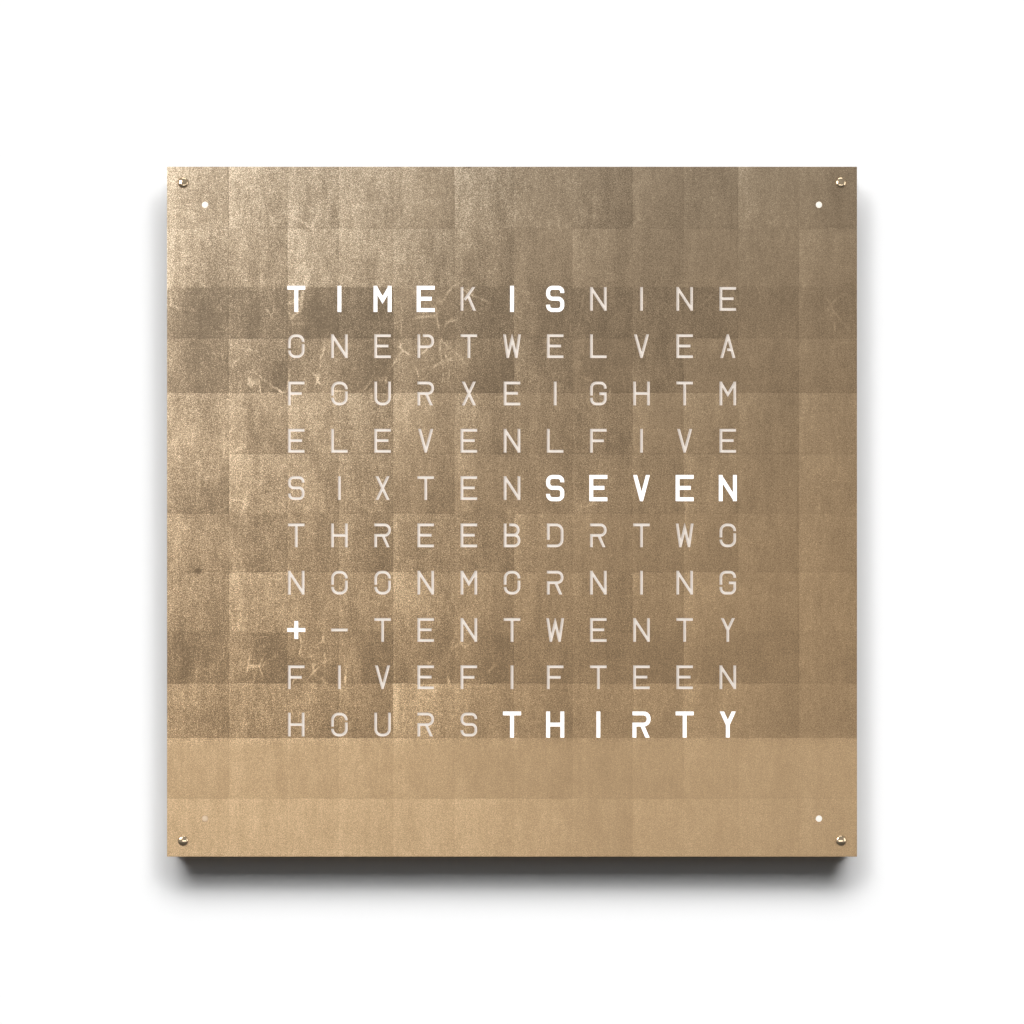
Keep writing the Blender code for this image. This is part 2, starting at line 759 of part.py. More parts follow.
def make_minute_lights():
    """Makes each corner's light: lens, reflector cup, round board with its LED, and lead."""
    nose_r = MINUTE_HOLE_R - FIT_GAP
    nose_top = BODY_FRONT - COVER_FRONT - LENS_RECESS
    lens_profile = [
        (0, nose_top),
        (nose_r - LENS_CHAMFER, nose_top),
        (nose_r, nose_top - LENS_CHAMFER),
        (nose_r, 0),
        (LENS_R, 0),
        (LENS_R, -LENS_FLANGE),
        (0, -LENS_FLANGE),
    ]
    cup_profile = [
        (LENS_R - CUP_WALL, 0),
        (LENS_R, 0),
        (LENS_R, -CUP_LENGTH),
        (CUP_HOLE_R, -CUP_LENGTH),
        (CUP_HOLE_R, -CUP_LENGTH + CUP_WALL),
    ]
    lens_mesh = turned_mesh("minute_lens", lens_profile, TURN_STEPS)
    cup_mesh = turned_mesh("minute_cup", cup_profile, TURN_STEPS, closed=True)

    def disc(work):
        add_cylinder(work, (0, 0, -BOARD_THICK / 2), LENS_R, BOARD_THICK, Matrix.Identity(4), TURN_STEPS)

    def led(work):
        half = MINUTE_LED / 2
        add_box(work, (-half, -half, -SINK), (half, half, LED_HEIGHT))

    first_board = place_part("minute_board_top_left", mesh_from("minute_board", disc), "white_board")
    fuse(first_board, "minute_led", led)
    board_mesh = bake(first_board)
    lead_front_y = MINUTE_FLOOR - FIT_GAP - LEAD_R
    for corner, side, level, x, z in corner_places(MINUTE_PLACE):
        lens = place_part(f"minute_lens_{corner}", lens_mesh, "opal")
        lens.matrix_world = Matrix.Translation((x, BODY_FRONT, z)) @ TOWARDS_VIEWER
        cup = place_part(f"minute_cup_{corner}", cup_mesh, "white_plastic")
        cup.matrix_world = Matrix.Translation((x, CUP_FRONT, z)) @ TOWARDS_VIEWER
        board = first_board
        if corner != "top_left":
            board = place_part(f"minute_board_{corner}", board_mesh, "white_board")
        board.matrix_world = Matrix.Translation((x, MINUTE_BOARD_FRONT, z)) @ TOWARDS_VIEWER
        void_x, void_z = lead_void(side, level)
        inward = Vector((void_x - x, 0, void_z - z)).normalized()
        start = Vector((x, lead_front_y, z)) + inward * (LENS_R + FIT_GAP)
        end_x = BUS_MIDDLE + side * LEAD_SPREAD
        points = [
            start,
            (void_x, lead_front_y, void_z),
            (void_x, STRIP_BACK - LEAD_R, void_z),
            (end_x, STRIP_BACK - LEAD_R, void_z),
            (end_x, STRIP_BACK - LEAD_R, level * (BUS_HALF_Z + FIT_GAP)),
        ]
        tube_part(f"minute_lead_{corner}", rounded_route(points, LEAD_BEND, 3), LEAD_R, "grey_cable")


def button_levels():
    """Returns the height of each button's axis, from the top one down."""
    return [CONTROL_TOP - BUTTON_DROP - index * BUTTON_PITCH for index in range(BUTTONS)]


def control_place(name):
    """Returns where a piece stands on the control board, as X and Z."""
    share_x, share_z = CONTROL_PLACES_SHARES[name]
    return CONTROL_LEFT + share_x * CONTROL_WIDTH, CONTROL_BOTTOM + share_z * CONTROL_HEIGHT


def add_component(work, x, z, size):
    """Adds a square component that stands on the control board's face."""
    add_box(
        work,
        (x - size[0] / 2, CONTROL_FACE - SINK, z - size[2] / 2),
        (x + size[0] / 2, CONTROL_FACE + size[1], z + size[2] / 2),
    )


def make_control_board():
    """Makes the board with its soldered components and the four switch bodies."""
    board = box_part(
        "control_board",
        (CONTROL_LEFT, CONTROL_FRONT, CONTROL_BOTTOM),
        (CONTROL_RIGHT, CONTROL_FACE, CONTROL_TOP),
        "green_board",
    )

    def components(work):
        add_component(work, HEADER_LEFT + HEADER_SIZE[0] / 2, RIBBON_Z, HEADER_SIZE)
        add_component(work, *control_place("chip"), CHIP_SIZE)
        add_component(work, *control_place("regulator"), REGULATOR_SIZE)
        add_component(work, *control_place("crystal"), CRYSTAL_SIZE)
        add_component(work, *control_place("receiver"), RECEIVER_SIZE)
        for name in ("capacitor_1", "capacitor_2"):
            x, z = control_place(name)
            middle = (x, CONTROL_FACE + (CAPACITOR_HEIGHT - SINK) / 2, z)
            add_cylinder(work, middle, CAPACITOR_R, CAPACITOR_HEIGHT + SINK, TOWARDS_WALL, SMALL_STEPS)
        for z in button_levels():
            add_component(work, SWITCH_FRONT - SWITCH_SIZE[0] / 2, z, SWITCH_SIZE)

    def switch_bores(work):
        length = SWITCH_BORE_DEPTH + OVERRUN
        for z in button_levels():
            middle = (SWITCH_FRONT - SWITCH_BORE_DEPTH + length / 2, BUTTON_Y, z)
            add_cylinder(work, middle, PLUNGER_R + FIT_GAP, length, TOWARDS_RIGHT, SMALL_STEPS)

    fuse(board, "components", components)
    cut(board, "switch_bores", switch_bores)
    smooth_round(board)


def make_buttons():
    """Makes the four button caps and the switch plungers that they press."""
    cap_length = BODY_HALF + CAP_PROUD - FLANGE_INNER
    cap_profile = [
        (0, cap_length),
        (CAP_R - CAP_EDGE, cap_length),
        (CAP_R, cap_length - CAP_EDGE),
        (CAP_R, CAP_FLANGE),
        (CAP_FLANGE_R, CAP_FLANGE),
        (CAP_FLANGE_R, 0),
        (0, 0),
    ]
    cap_mesh = turned_mesh("button_cap", cap_profile, TURN_STEPS)
    plunger_length = PLUNGER_OUTER - PLUNGER_INNER
    plunger_profile = [(0, plunger_length), (PLUNGER_R, plunger_length), (PLUNGER_R, 0), (0, 0)]
    plunger_mesh = turned_mesh("switch_plunger", plunger_profile, SMALL_STEPS)
    for index, z in enumerate(button_levels()):
        cap = place_part(f"button_cap_{index + 1}", cap_mesh, "black_plastic")
        cap.matrix_world = Matrix.Translation((FLANGE_INNER, BUTTON_Y, z)) @ TOWARDS_RIGHT
        plunger = place_part(f"switch_plunger_{index + 1}", plunger_mesh, "white_plastic")
        plunger.matrix_world = Matrix.Translation((PLUNGER_INNER, BUTTON_Y, z)) @ TOWARDS_RIGHT


def make_coin_cell():
    """Makes the coin cell and the cup-shaped holder that it drops into."""
    x, z = control_place("coin_cell")
    seat_r = CELL_R + FIT_GAP
    outer_r = seat_r + HOLDER_WALL
    holder_profile = [
        (0, HOLDER_FLOOR),
        (seat_r, HOLDER_FLOOR),
        (seat_r, HOLDER_HEIGHT),
        (outer_r, HOLDER_HEIGHT),
        (outer_r, 0),
        (0, 0),
    ]
    holder_mesh = turned_mesh("battery_holder", holder_profile, BORE_STEPS)
    holder = place_part("battery_holder", holder_mesh, "black_plastic")
    base_y = CONTROL_FACE + FIT_GAP
    holder.matrix_world = Matrix.Translation((x, base_y, z)) @ TOWARDS_WALL

    def disc(work):
        add_cylinder(work, (0, 0, CELL_THICK / 2), CELL_R, CELL_THICK, Matrix.Identity(4), BORE_STEPS)

    cell = place_part("coin_cell", mesh_from("coin_cell", disc), "steel")
    cell.matrix_world = Matrix.Translation((x, base_y + HOLDER_FLOOR + FIT_GAP, z)) @ TOWARDS_WALL
    smooth_round(cell)


def make_dc_socket():
    """Makes the power inlet, whose bore opens downwards into the cable channel."""
    width, height, length = SOCKET_SIZE
    socket = box_part(
        "dc_socket",
        (CHANNEL_X - width / 2, SOCKET_FACE, SOCKET_BOTTOM),
        (CHANNEL_X + width / 2, SOCKET_FACE + height, SOCKET_BOTTOM + length),
        "black_plastic",
    )
    ring_profile = [
        (SOCKET_PIN_R, SOCKET_BORE_DEPTH),
        (SOCKET_BORE_R, SOCKET_BORE_DEPTH),
        (SOCKET_BORE_R, -OVERRUN),
        (SOCKET_PIN_R, -OVERRUN),
    ]
    ring_mesh = turned_mesh("socket_bore", ring_profile, TURN_STEPS, closed=True)
    ring = place_part("socket_bore", ring_mesh, "black_plastic")
    ring.location = (CHANNEL_X, SOCKET_AXIS_Y, SOCKET_BOTTOM)
    combine(socket, as_cutter(ring), "DIFFERENCE")
    smooth_round(socket)


def make_antenna():
    """Makes the ferrite rod and the wound bobbin that sits on it, lying across the top of the bay."""
    middle = (BAY_LEFT + BAY_RIGHT) / 2
    axis_y = BAY_FLOOR + FIT_GAP + COIL_FLANGE_R
    z = BAY_TOP - ANTENNA_DROP

    def rod_shape(work):
        add_cylinder(work, (0, 0, 0), ROD_R, ROD_LENGTH, Matrix.Identity(4), TURN_STEPS)

    rod = place_part("antenna_rod", mesh_from("antenna_rod", rod_shape), "ferrite")
    rod.matrix_world = Matrix.Translation((middle, axis_y, z)) @ TOWARDS_RIGHT
    smooth_round(rod)
    half = COIL_LENGTH / 2
    bore_r = ROD_R + FIT_GAP
    coil_profile = [
        (bore_r, half),
        (COIL_FLANGE_R, half),
        (COIL_FLANGE_R, half - COIL_FLANGE),
        (COIL_R, half - COIL_FLANGE),
        (COIL_R, -half + COIL_FLANGE),
        (COIL_FLANGE_R, -half + COIL_FLANGE),
        (COIL_FLANGE_R, -half),
        (bore_r, -half),
    ]
    coil_mesh = turned_mesh("antenna_coil", coil_profile, SMALL_STEPS, closed=True)
    coil = place_part("antenna_coil", coil_mesh, "copper_winding")
    coil.matrix_world = rod.matrix_world


def make_service_cover():
    """Makes the flush plate that closes the bay at the back."""
    box_part(
        "service_cover",
        (BAY_LEFT - SERVICE_LIP, SERVICE_FRONT, BAY_BOTTOM - SERVICE_LIP),
        (BAY_RIGHT + SERVICE_LIP, SERVICE_BACK, BAY_TOP + SERVICE_LIP),
        "black_plastic",
    )


def hanger_places():
    """Returns the X of each hanger plate."""
    return (-HANGER_SPAN / 2, HANGER_SPAN / 2)


def keyhole_levels():
    """Returns the heights of a keyhole's round entry and of its slot's upper end."""
    middle = BODY_HALF - HANGER_DROP
    return middle - KEYHOLE_TRAVEL / 2, middle + KEYHOLE_TRAVEL / 2


def make_hanger_plates():
    """Makes the two keyhole plates that lie flush in the back of the body."""
    entry_z, slot_z = keyhole_levels()
    middle_z = BODY_HALF - HANGER_DROP
    thick = HANGER_THICK + 2 * OVERRUN

    def round_hole(x, z, radius, steps):
        def build(work):
            add_cylinder(work, (x, -HANGER_THICK / 2, z), radius, thick, TOWARDS_WALL, steps)

        return build

    def slot(x):
        def build(work):
            add_box(
                work,
                (x - KEYHOLE_SLOT_R, -HANGER_THICK - OVERRUN, entry_z),
                (x + KEYHOLE_SLOT_R, OVERRUN, slot_z),
            )

        return build

    for side, x in zip(("left", "right"), hanger_places()):
        plate = box_part(
            f"hanger_plate_{side}",
            (x - HANGER_WIDTH / 2, -HANGER_THICK, middle_z - HANGER_HEIGHT / 2),
            (x + HANGER_WIDTH / 2, 0, middle_z + HANGER_HEIGHT / 2),
            "zinc",
        )
        cut(plate, f"keyhole_entry_{side}", round_hole(x, entry_z, KEYHOLE_ENTRY_R, BORE_STEPS))
        cut(plate, f"keyhole_slot_{side}", slot(x))
        cut(plate, f"keyhole_end_{side}", round_hole(x, slot_z, KEYHOLE_SLOT_R, SMALL_STEPS))


def main():
    """Builds the whole clock."""
    make_front_cover()
    make_body()
    make_diffuser()
    make_light_baffle()
    make_led_strips()
    make_bus_board()
    make_cover_pins()
    make_minute_lights()
    make_control_board()
    make_buttons()
    make_coin_cell()
    make_dc_socket()
    make_antenna()
    make_service_cover()
    make_hanger_plates()


main()
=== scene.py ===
import json
import logging
import math
from collections.abc import Iterable, Iterator, Sequence
from dataclasses import dataclass, field
from enum import Enum

import bmesh
import bpy
from mathutils import Matrix, Vector


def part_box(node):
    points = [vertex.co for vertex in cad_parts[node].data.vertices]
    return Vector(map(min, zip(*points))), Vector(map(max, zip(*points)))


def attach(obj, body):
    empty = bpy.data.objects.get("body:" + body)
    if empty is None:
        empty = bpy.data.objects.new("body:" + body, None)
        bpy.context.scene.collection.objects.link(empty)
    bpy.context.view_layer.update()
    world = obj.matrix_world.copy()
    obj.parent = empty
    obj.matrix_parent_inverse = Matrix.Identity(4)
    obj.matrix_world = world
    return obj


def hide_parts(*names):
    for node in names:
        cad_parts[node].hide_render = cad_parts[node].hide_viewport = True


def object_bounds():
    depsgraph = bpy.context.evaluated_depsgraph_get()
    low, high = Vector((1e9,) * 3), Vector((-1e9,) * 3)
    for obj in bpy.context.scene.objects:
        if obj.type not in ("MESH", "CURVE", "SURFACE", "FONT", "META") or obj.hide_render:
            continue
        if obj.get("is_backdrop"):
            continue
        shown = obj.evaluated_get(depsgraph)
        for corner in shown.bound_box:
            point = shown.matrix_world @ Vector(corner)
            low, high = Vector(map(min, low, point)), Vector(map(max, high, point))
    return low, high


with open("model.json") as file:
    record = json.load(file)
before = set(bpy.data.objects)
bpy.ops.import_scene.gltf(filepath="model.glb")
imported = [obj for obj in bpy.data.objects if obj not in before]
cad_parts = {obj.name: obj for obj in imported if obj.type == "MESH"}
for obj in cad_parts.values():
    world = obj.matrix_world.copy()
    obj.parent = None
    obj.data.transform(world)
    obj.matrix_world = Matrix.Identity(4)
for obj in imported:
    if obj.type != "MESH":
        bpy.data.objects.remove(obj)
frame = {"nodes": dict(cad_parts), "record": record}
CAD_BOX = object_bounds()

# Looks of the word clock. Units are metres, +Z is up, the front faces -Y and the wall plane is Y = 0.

LOG = logging.getLogger("word_clock")
FULL_TURN = 2 * math.pi
SMOOTH_ANGLE = math.radians(35)
FLAT_ANGLE = math.radians(12)
MERGE = 0.00001
TOWARDS_VIEWER = Matrix.Rotation(math.pi / 2, 4, "X")
TOWARDS_WALL = Matrix.Rotation(-math.pi / 2, 4, "X")
TOWARDS_RIGHT = Matrix.Rotation(math.pi / 2, 4, "Y")

Socket = bpy.types.NodeSocket
Feed = Socket | float | Sequence[float]
Point = tuple[float, float]
Colour = tuple[float, float, float]


class Corner(Enum):
    """A corner of the clock, as its two signs along X and Z."""

    TOP_LEFT = (-1, 1)
    TOP_RIGHT = (1, 1)
    BOTTOM_LEFT = (-1, -1)
    BOTTOM_RIGHT = (1, -1)

    @property
    def word(self) -> str:
        """Returns the corner's name as the nodes write it."""
        return self.name.lower()

    def at(self, inset_place: float) -> Point:
        """Returns X and Z of a point that is this far from both middle lines."""
        return self.value[0] * inset_place, self.value[1] * inset_place


class Glow(Enum):
    """Whether a letter or a minute light is lit."""

    UNLIT = "unlit"
    LIT = "lit"


# Materials are sketched node by node

class Sketch:
    """Builds one node tree."""

    def __init__(self, tree: bpy.types.NodeTree) -> None:
        """Starts an empty tree."""
        self.tree = tree
        tree.nodes.clear()

    def add(
        self, kind: str, feeds: dict[str | int, Feed] | None = None, **settings: object
    ) -> bpy.types.Node:
        """Adds a node.

        Args:
            kind: The node's type without its ShaderNode prefix.
            feeds: A socket or a constant for each named or numbered input.
            settings: The node's own properties.

        Returns:
            The new node.
        """
        node = self.tree.nodes.new(f"ShaderNode{kind}")
        for name, value in settings.items():
            setattr(node, name, value)
        for name, value in (feeds or {}).items():
            self.feed(node.inputs[name], value)
        return node

    def feed(self, target: Socket, value: Feed) -> None:
        """Links a socket to an input, or writes a constant into it.

        Args:
            target: The input.
            value: A socket, a number or a list of numbers.
        """
        if isinstance(value, Socket):
            self.tree.links.new(value, target)
        elif target.type == "RGBA" and not isinstance(value, (int, float)):
            target.default_value = (*value[:3], 1)
        else:
            target.default_value = value

    def maths(self, operation: str, first: Feed, second: Feed = 0.0, clamp: bool = False) -> Socket:
        """Returns the result of one calculation.

        Args:
            operation: The Math node's operation.
            first: Its first number.
            second: Its second number.
            clamp: Whether the result is kept between 0 and 1.

        Returns:
            The result's socket.
        """
        return self.add("Math", {0: first, 1: second}, operation=operation, use_clamp=clamp).outputs[0]

    def total(self, *parts: Feed) -> Socket:
        """Returns the sum of several values."""
        result = parts[0]
        for part in parts[1:]:
            result = self.maths("ADD", result, part)
        return result

    def times(self, first: Feed, second: Feed) -> Socket:
        """Returns the product of two values."""
        return self.maths("MULTIPLY", first, second)

    def line(self, value: Feed, start: float, rise: float) -> Socket:
        """Returns a straight line's height: its start plus the value times its rise."""
        return self.total(start, self.times(value, rise))

    def rest(self, value: Feed) -> Socket:
        """Returns what is missing from 1."""
        return self.maths("SUBTRACT", 1.0, value)

    def swing(self, value: Feed, amount: float) -> Socket:
        """Returns a value of 0 to 1 as a swing around zero of this much either way."""
        return self.times(self.maths("SUBTRACT", value, 0.5), 2 * amount)

    def step(self, value: Feed, start: float, end: float) -> Socket:
        """Returns a soft step.

        Args:
            value: What is measured.
            start: Where the step is 0.
            end: Where the step is 1. It may be below the start.

        Returns:
            The step's socket.
        """
        low, high = min(start, end), max(start, end)
        ends = {1: low, 2: high, 3: 0.0, 4: 1.0} if start < end else {1: low, 2: high, 3: 1.0, 4: 0.0}
        return self.add("MapRange", {0: value, **ends}, interpolation_type="SMOOTHSTEP").outputs[0]

    def mix(self, share: Feed, first: Feed, second: Feed, blend: str = "MIX") -> Socket:
        """Returns a mix of two colours.

        Args:
            share: How much of the second colour shows.
            first: The first colour.
            second: The second colour.
            blend: The Mix node's way of blending.

        Returns:
            The mixed colour's socket.
        """
        node = self.add("Mix", {0: share, 6: first, 7: second}, data_type="RGBA", blend_type=blend)
        return node.outputs[2]

    def place(self) -> Socket:
        """Returns the place on the object, in metres."""
        return self.add("TexCoord").outputs["Object"]

    def split(self, vector: Feed) -> tuple[Socket, Socket, Socket]:
        """Returns a vector's three values."""
        outputs = self.add("SeparateXYZ", {0: vector}).outputs
        return outputs[0], outputs[1], outputs[2]

    def joined(self, first: Feed, second: Feed, third: Feed = 0.0) -> Socket:
        """Returns a vector made of three values."""
        return self.add("CombineXYZ", {0: first, 1: second, 2: third}).outputs[0]

    def stretched(self, vector: Feed, scale: Sequence[float]) -> Socket:
        """Returns a vector with each of its values scaled by itself."""
        return self.add("VectorMath", {0: vector, 1: scale}, operation="MULTIPLY").outputs[0]

    def noise(self, vector: Feed, scale: float, detail: float = 2.0, rough: float = 0.5) -> Socket:
        """Returns soft noise.

        Args:
            vector: Where it is read.
            scale: Its patches per metre.
            detail: How many finer layers it has.
            rough: How strong the finer layers are.

        Returns:
            The noise's socket, from 0 to 1.
        """
        feeds = {"Vector": vector, "Scale": scale, "Detail": detail, "Roughness": rough}
        return self.add("TexNoise", feeds).outputs[0]

    def curve(self, value: Feed, points: Iterable[Point]) -> Socket:
        """Returns a value read off a broken line.

        Args:
            value: The place along the line, from 0 to 1.
            points: The line's points, whose first and last are at 0 and 1.

        Returns:
            The line's height there.
        """
        node = self.add("FloatCurve", {"Value": value})
        line = node.mapping.curves[0]
        listed = list(points)
        line.points[0].location = listed[0]
        line.points[1].location = listed[-1]
        for point in listed[1:-1]:
            line.points.new(*point)
        for point in line.points:
            point.handle_type = "VECTOR"
        node.mapping.update()
        return node.outputs[0]

    def ramp(self, value: Feed, stops: Sequence[tuple[float, Colour]]) -> Socket:
        """Returns a colour read off a ramp.

        Args:
            value: The place on the ramp, from 0 to 1.
            stops: Each stop's place and colour.

        Returns:
            The colour's socket.
        """
        node = self.add("ValToRGB", {0: value})
        elements = node.color_ramp.elements
        for _ in stops[2:]:
            elements.new(1.0)
        for element, (place, colour) in zip(elements, stops):
            element.position = place
            element.color = (*colour, 1)
        return node.outputs[0]

    def bump(self, height: Feed, distance: float, strength: float = 1.0) -> Socket:
        """Returns the normal of a relief.

        Args:
            height: The relief, from 0 to 1.
            distance: How deep it is, in metres.
            strength: How much of it shows.

        Returns:
            The normal's socket.
        """
        return self.add("Bump", {"Height": height, "Distance": distance, "Strength": strength}).outputs[0]


def new_material(name: str) -> tuple[bpy.types.Material, Sketch]:
    """Starts a material.

    Args:
        name: The material's name.

    Returns:
        The material and the sketch of its node tree.
    """
    material = bpy.data.materials.new(name)
    material.use_nodes = True
    return material, Sketch(material.node_tree)


def close_material(sketch: Sketch, feeds: dict[str, Feed]) -> bpy.types.Node:
    """Adds the shader and the output to a sketch.

    Args:
        sketch: The material's sketch.
        feeds: What goes into the shader's named inputs.

    Returns:
        The shader node.
    """
    shader = sketch.add("BsdfPrincipled", feeds)
    sketch.add("OutputMaterial", {"Surface": shader.outputs[0]})
    return shader


class SharedEffects:
    """The effects that several materials use, each a node group made once."""

    fine_share = 0.6
    smudge_step = (0.35, 0.7)

    def __init__(self) -> None:
        """Makes the groups."""
        self.grain = self.make_grain()
        self.smudges = self.make_smudges()

    @staticmethod
    def start(
        name: str, inputs: dict[str, float], outputs: Sequence[str]
    ) -> tuple[bpy.types.NodeTree, Sketch]:
        """Starts a group with named number inputs and outputs.

        Args:
            name: The group's name.
            inputs: Each input's name and first value.
            outputs: The outputs' names.

        Returns:
            The group and the sketch of its tree.
        """
        tree = bpy.data.node_groups.new(name, "ShaderNodeTree")
        for label, value in inputs.items():
            made = tree.interface.new_socket(name=label, in_out="INPUT", socket_type="NodeSocketFloat")
            made.default_value = value
        for label in outputs:
            tree.interface.new_socket(name=label, in_out="OUTPUT", socket_type="NodeSocketFloat")
        return tree, Sketch(tree)

    @staticmethod
    def ends(tree: bpy.types.NodeTree) -> tuple[bpy.types.Node, bpy.types.Node]:
        """Returns a group's input node and output node."""
        return tree.nodes.new("NodeGroupInput"), tree.nodes.new("NodeGroupOutput")

    def make_grain(self) -> bpy.types.NodeTree:
        """Makes the fine grain of moulded, lacquered and plated surfaces."""
        tree, sketch = self.start("surface_grain", {"Scale": 900.0, "Softness": 0.25}, ("Mask", "Height"))
        entry, leave = self.ends(tree)
        where = {"Vector": sketch.place(), "Scale": entry.outputs["Scale"]}
        fine = sketch.add("TexNoise", {**where, "Detail": 3.0}).outputs[0]
        pits = sketch.add("TexVoronoi", where).outputs["Distance"]
        height = sketch.total(sketch.times(fine, self.fine_share), sketch.times(pits, 1 - self.fine_share))
        low = sketch.maths("SUBTRACT", 0.5, entry.outputs["Softness"])
        high = sketch.maths("ADD", 0.5, entry.outputs["Softness"])
        mask = sketch.add("MapRange", {0: fine, 1: low, 2: high}).outputs[0]
        sketch.feed(leave.inputs["Mask"], mask)
        sketch.feed(leave.inputs["Height"], height)
        return tree

    def make_smudges(self) -> bpy.types.NodeTree:
        """Makes wide soft patches where a surface has been handled or has aged unevenly."""
        tree, sketch = self.start("soft_smudges", {"Scale": 12.0}, ("Mask",))
        entry, leave = self.ends(tree)
        feeds = {"Vector": sketch.place(), "Scale": entry.outputs["Scale"], "Detail": 4.0, "Distortion": 0.4}
        cloud = sketch.add("TexNoise", feeds).outputs[0]
        sketch.feed(leave.inputs["Mask"], sketch.step(cloud, *self.smudge_step))
        return tree

    def use(self, sketch: Sketch, group: bpy.types.NodeTree, feeds: dict[str, Feed]) -> bpy.types.Node:
        """Places a group in a material.

        Args:
            sketch: The material's sketch.
            group: The node group.
            feeds: What goes into its inputs.

        Returns:
            The group's node.
        """
        node = sketch.add("Group", node_tree=group)
        for name, value in feeds.items():
            sketch.feed(node.inputs[name], value)
        return node


@dataclass(frozen=True)
class LeafGrid:
    """Where a point lies among the leaves."""

    across: Socket
    down: Socket
    row: Socket
    in_column: Socket
    in_row: Socket
    chance_tone: Socket
    chance_fall: Socket
    chance_rough: Socket


@dataclass(frozen=True)
class LeafAreas:
    """How far a point is in each area of the plate, from 0 to 1."""

    left: Socket
    top: Socket
    middle_right: Socket
    lower: Socket
    above: Socket
    calm: Socket
    lively: Socket
    dull: Socket


@dataclass(frozen=True)
class LeafMark:
    """A kind of mark in the leaf: its patches per metre along X, Y and Z, and how far it shifts the tone."""

    patches: tuple[float, float, float]
    detail: float
    rough: float
    shift: float = 0.0

    def read(self, sketch: Sketch, place: Feed) -> Socket:
        """Returns the mark at a place, from 0 to 1."""
        return sketch.noise(sketch.stretched(place, self.patches), 1.0, self.detail, self.rough)


@dataclass(frozen=True)
class LeafFinish:
    """Squares of metal leaf laid edge over edge under varnish, with laps, creases, grain and tarnish. Part of
    its tone is painted light: a painted highlight at the top left, painted light from below in the lowest
    courses and at the lower right, a hue that turns warmer downwards in place of the varnish's fading sheen,
    and creases drawn lighter as painted glints.
    """

    side: float
    seam_shares: tuple[float, ...] = (
        0.0, 0.090, 0.175, 0.249, 0.328, 0.417, 0.503, 0.588, 0.675, 0.749, 0.828, 0.916, 1.0,
    )
    even_share: float = 0.47
    dull_courses: tuple[tuple[int, float], ...] = ((2, 0.24), (3, 0.17), (5, 0.03), (6, 0.05), (8, 0.19))
    # courses listed brighter; the strong brightening of the lowest courses is painted light from below
    bright_courses: tuple[tuple[int, float], ...] = ((0, 0.05), (9, 0.04), (10, 0.21), (11, 0.28))
    tones: tuple[tuple[float, Colour], ...] = (
        (0.0, (0.150, 0.110, 0.068)),
        (0.3, (0.270, 0.203, 0.132)),
        (0.5, (0.370, 0.283, 0.188)),
        (0.7, (0.520, 0.408, 0.280)),
        (1.0, (0.900, 0.760, 0.580)),
    )
    warmth: Colour = (1.06, 0.915, 0.72)
    grain: LeafMark = LeafMark((900, 900, 900), 1, 0.7, 1.18)
    coarse: LeafMark = LeafMark((260, 260, 260), 2, 0.6, 0.03)
    cloud: LeafMark = LeafMark((15, 15, 15), 5, 0.62, 0.17)
    patch: LeafMark = LeafMark((80, 80, 30), 3, 0.55, 0.20)
    streak: LeafMark = LeafMark((300, 300, 34), 3, 0.62, 0.15)
    band: LeafMark = LeafMark((46, 7.3, 5), 2, 0.5, 0.17)
    smear: LeafMark = LeafMark((26, 26, 420), 2, 0.5, 0.06)
    tear: LeafMark = LeafMark((13, 13, 13), 2, 0.5, 0.014)
    torn_fine: LeafMark = LeafMark((90, 90, 90), 3, 0.6, 0.0013)
    torn_coarse: LeafMark = LeafMark((42, 42, 42), 4, 0.65, 0.5)
    creased: LeafMark = LeafMark((7, 7, 7), 2, 0.5)
    veins: tuple[tuple[float, float, float], ...] = ((30, 0.0015, 0.6), (16, 0.0019, 0.7))
    wisps: tuple[float, float, float] = (75, 0.0011, 0.35)
    # painted glints: creases and wisps are drawn lighter in colour, beside their real relief
    crease_glint_shift: float = 0.60
    wisp_glint_shift: float = 0.06
    seam_shift: float = -0.05
    fleck_shift: float = -0.40
    chance_shift: float = 0.09
    # painted light from below: the lower right of the plate is brightened
    low_light_shift: float = 0.09
    # painted highlight: the tone is raised at the top left, where the left softbox shines on the plate
    top_left_highlight: float = 0.035
    top_right_shift: float = -0.035
    middle_right_shift: float = -0.045
    middle_right_place: float = 0.62
    left_uneven: float = 0.10
    slope_across: float = 0.5
    slope_down: float = 1.8
    fall_across: float = 0.125
    fall_down: float = 0.09
    low_edge_gather: float = 0.30
    fleck_cells: float = 10.0
    bend: Point = (26.0, 0.022)
    sway: Point = (12.0, 0.030)
    metallic: float = 0.82
    roughness: float = 0.44
    chance_rough: float = 0.03
    cloud_rough: float = 0.06
    grain_rough: float = 0.10
    coat: float = 0.30
    coat_rough: float = 0.42
    relief: float = 0.00006
    relief_shown: float = 0.6
    grain_relief: float = 0.5
    streak_relief: float = 0.25
    crease_relief: float = 0.8

    # soft steps, from where they are 0 to where they are 1
    torn_step: Point = (0.56, 0.68)
    left_step: Point = (0.95, 0.05)
    lower_step: Point = (0.815, 0.845)
    top_step: Point = (0.22, 0.08)
    middle_right_step: Point = (0.24, 0.04)
    dull_step: Point = (-0.05, -0.15)
    creased_step: Point = (0.42, 0.62)
    broken_step: Point = (0.45, 0.66)
    low_edge_step: Point = (0.55, 0.95)
    chosen_step: Point = (0.93, 0.935)
    fleck_step: Point = (0.06, 0.025)
    seam_step: Point = (0.965, 0.99)
    # painted light: the share of the warm colour grows downwards and to the right, in place of the varnish's
    # pale sheen that fades towards the bottom
    painted_sheen_step: Point = (-0.1, 1.8)

    # straight lines, each a start and a rise
    lively_above: Point = (0.46, 0.54)
    lively_lower: Point = (0.26, 0.08)
    calm_lower: Point = (1.0, -0.55)
    course_depth: Point = (0.40, 0.60)
    cloud_depth: Point = (1.0, 0.8)
    gather_dull: Point = (0.12, 0.58)
    gather_left: Point = (0.35, 0.65)
    fall_chance: Point = (0.45, 1.1)
    fall_left: Point = (0.58, 0.42)
    fall_above: Point = (0.35, 0.65)

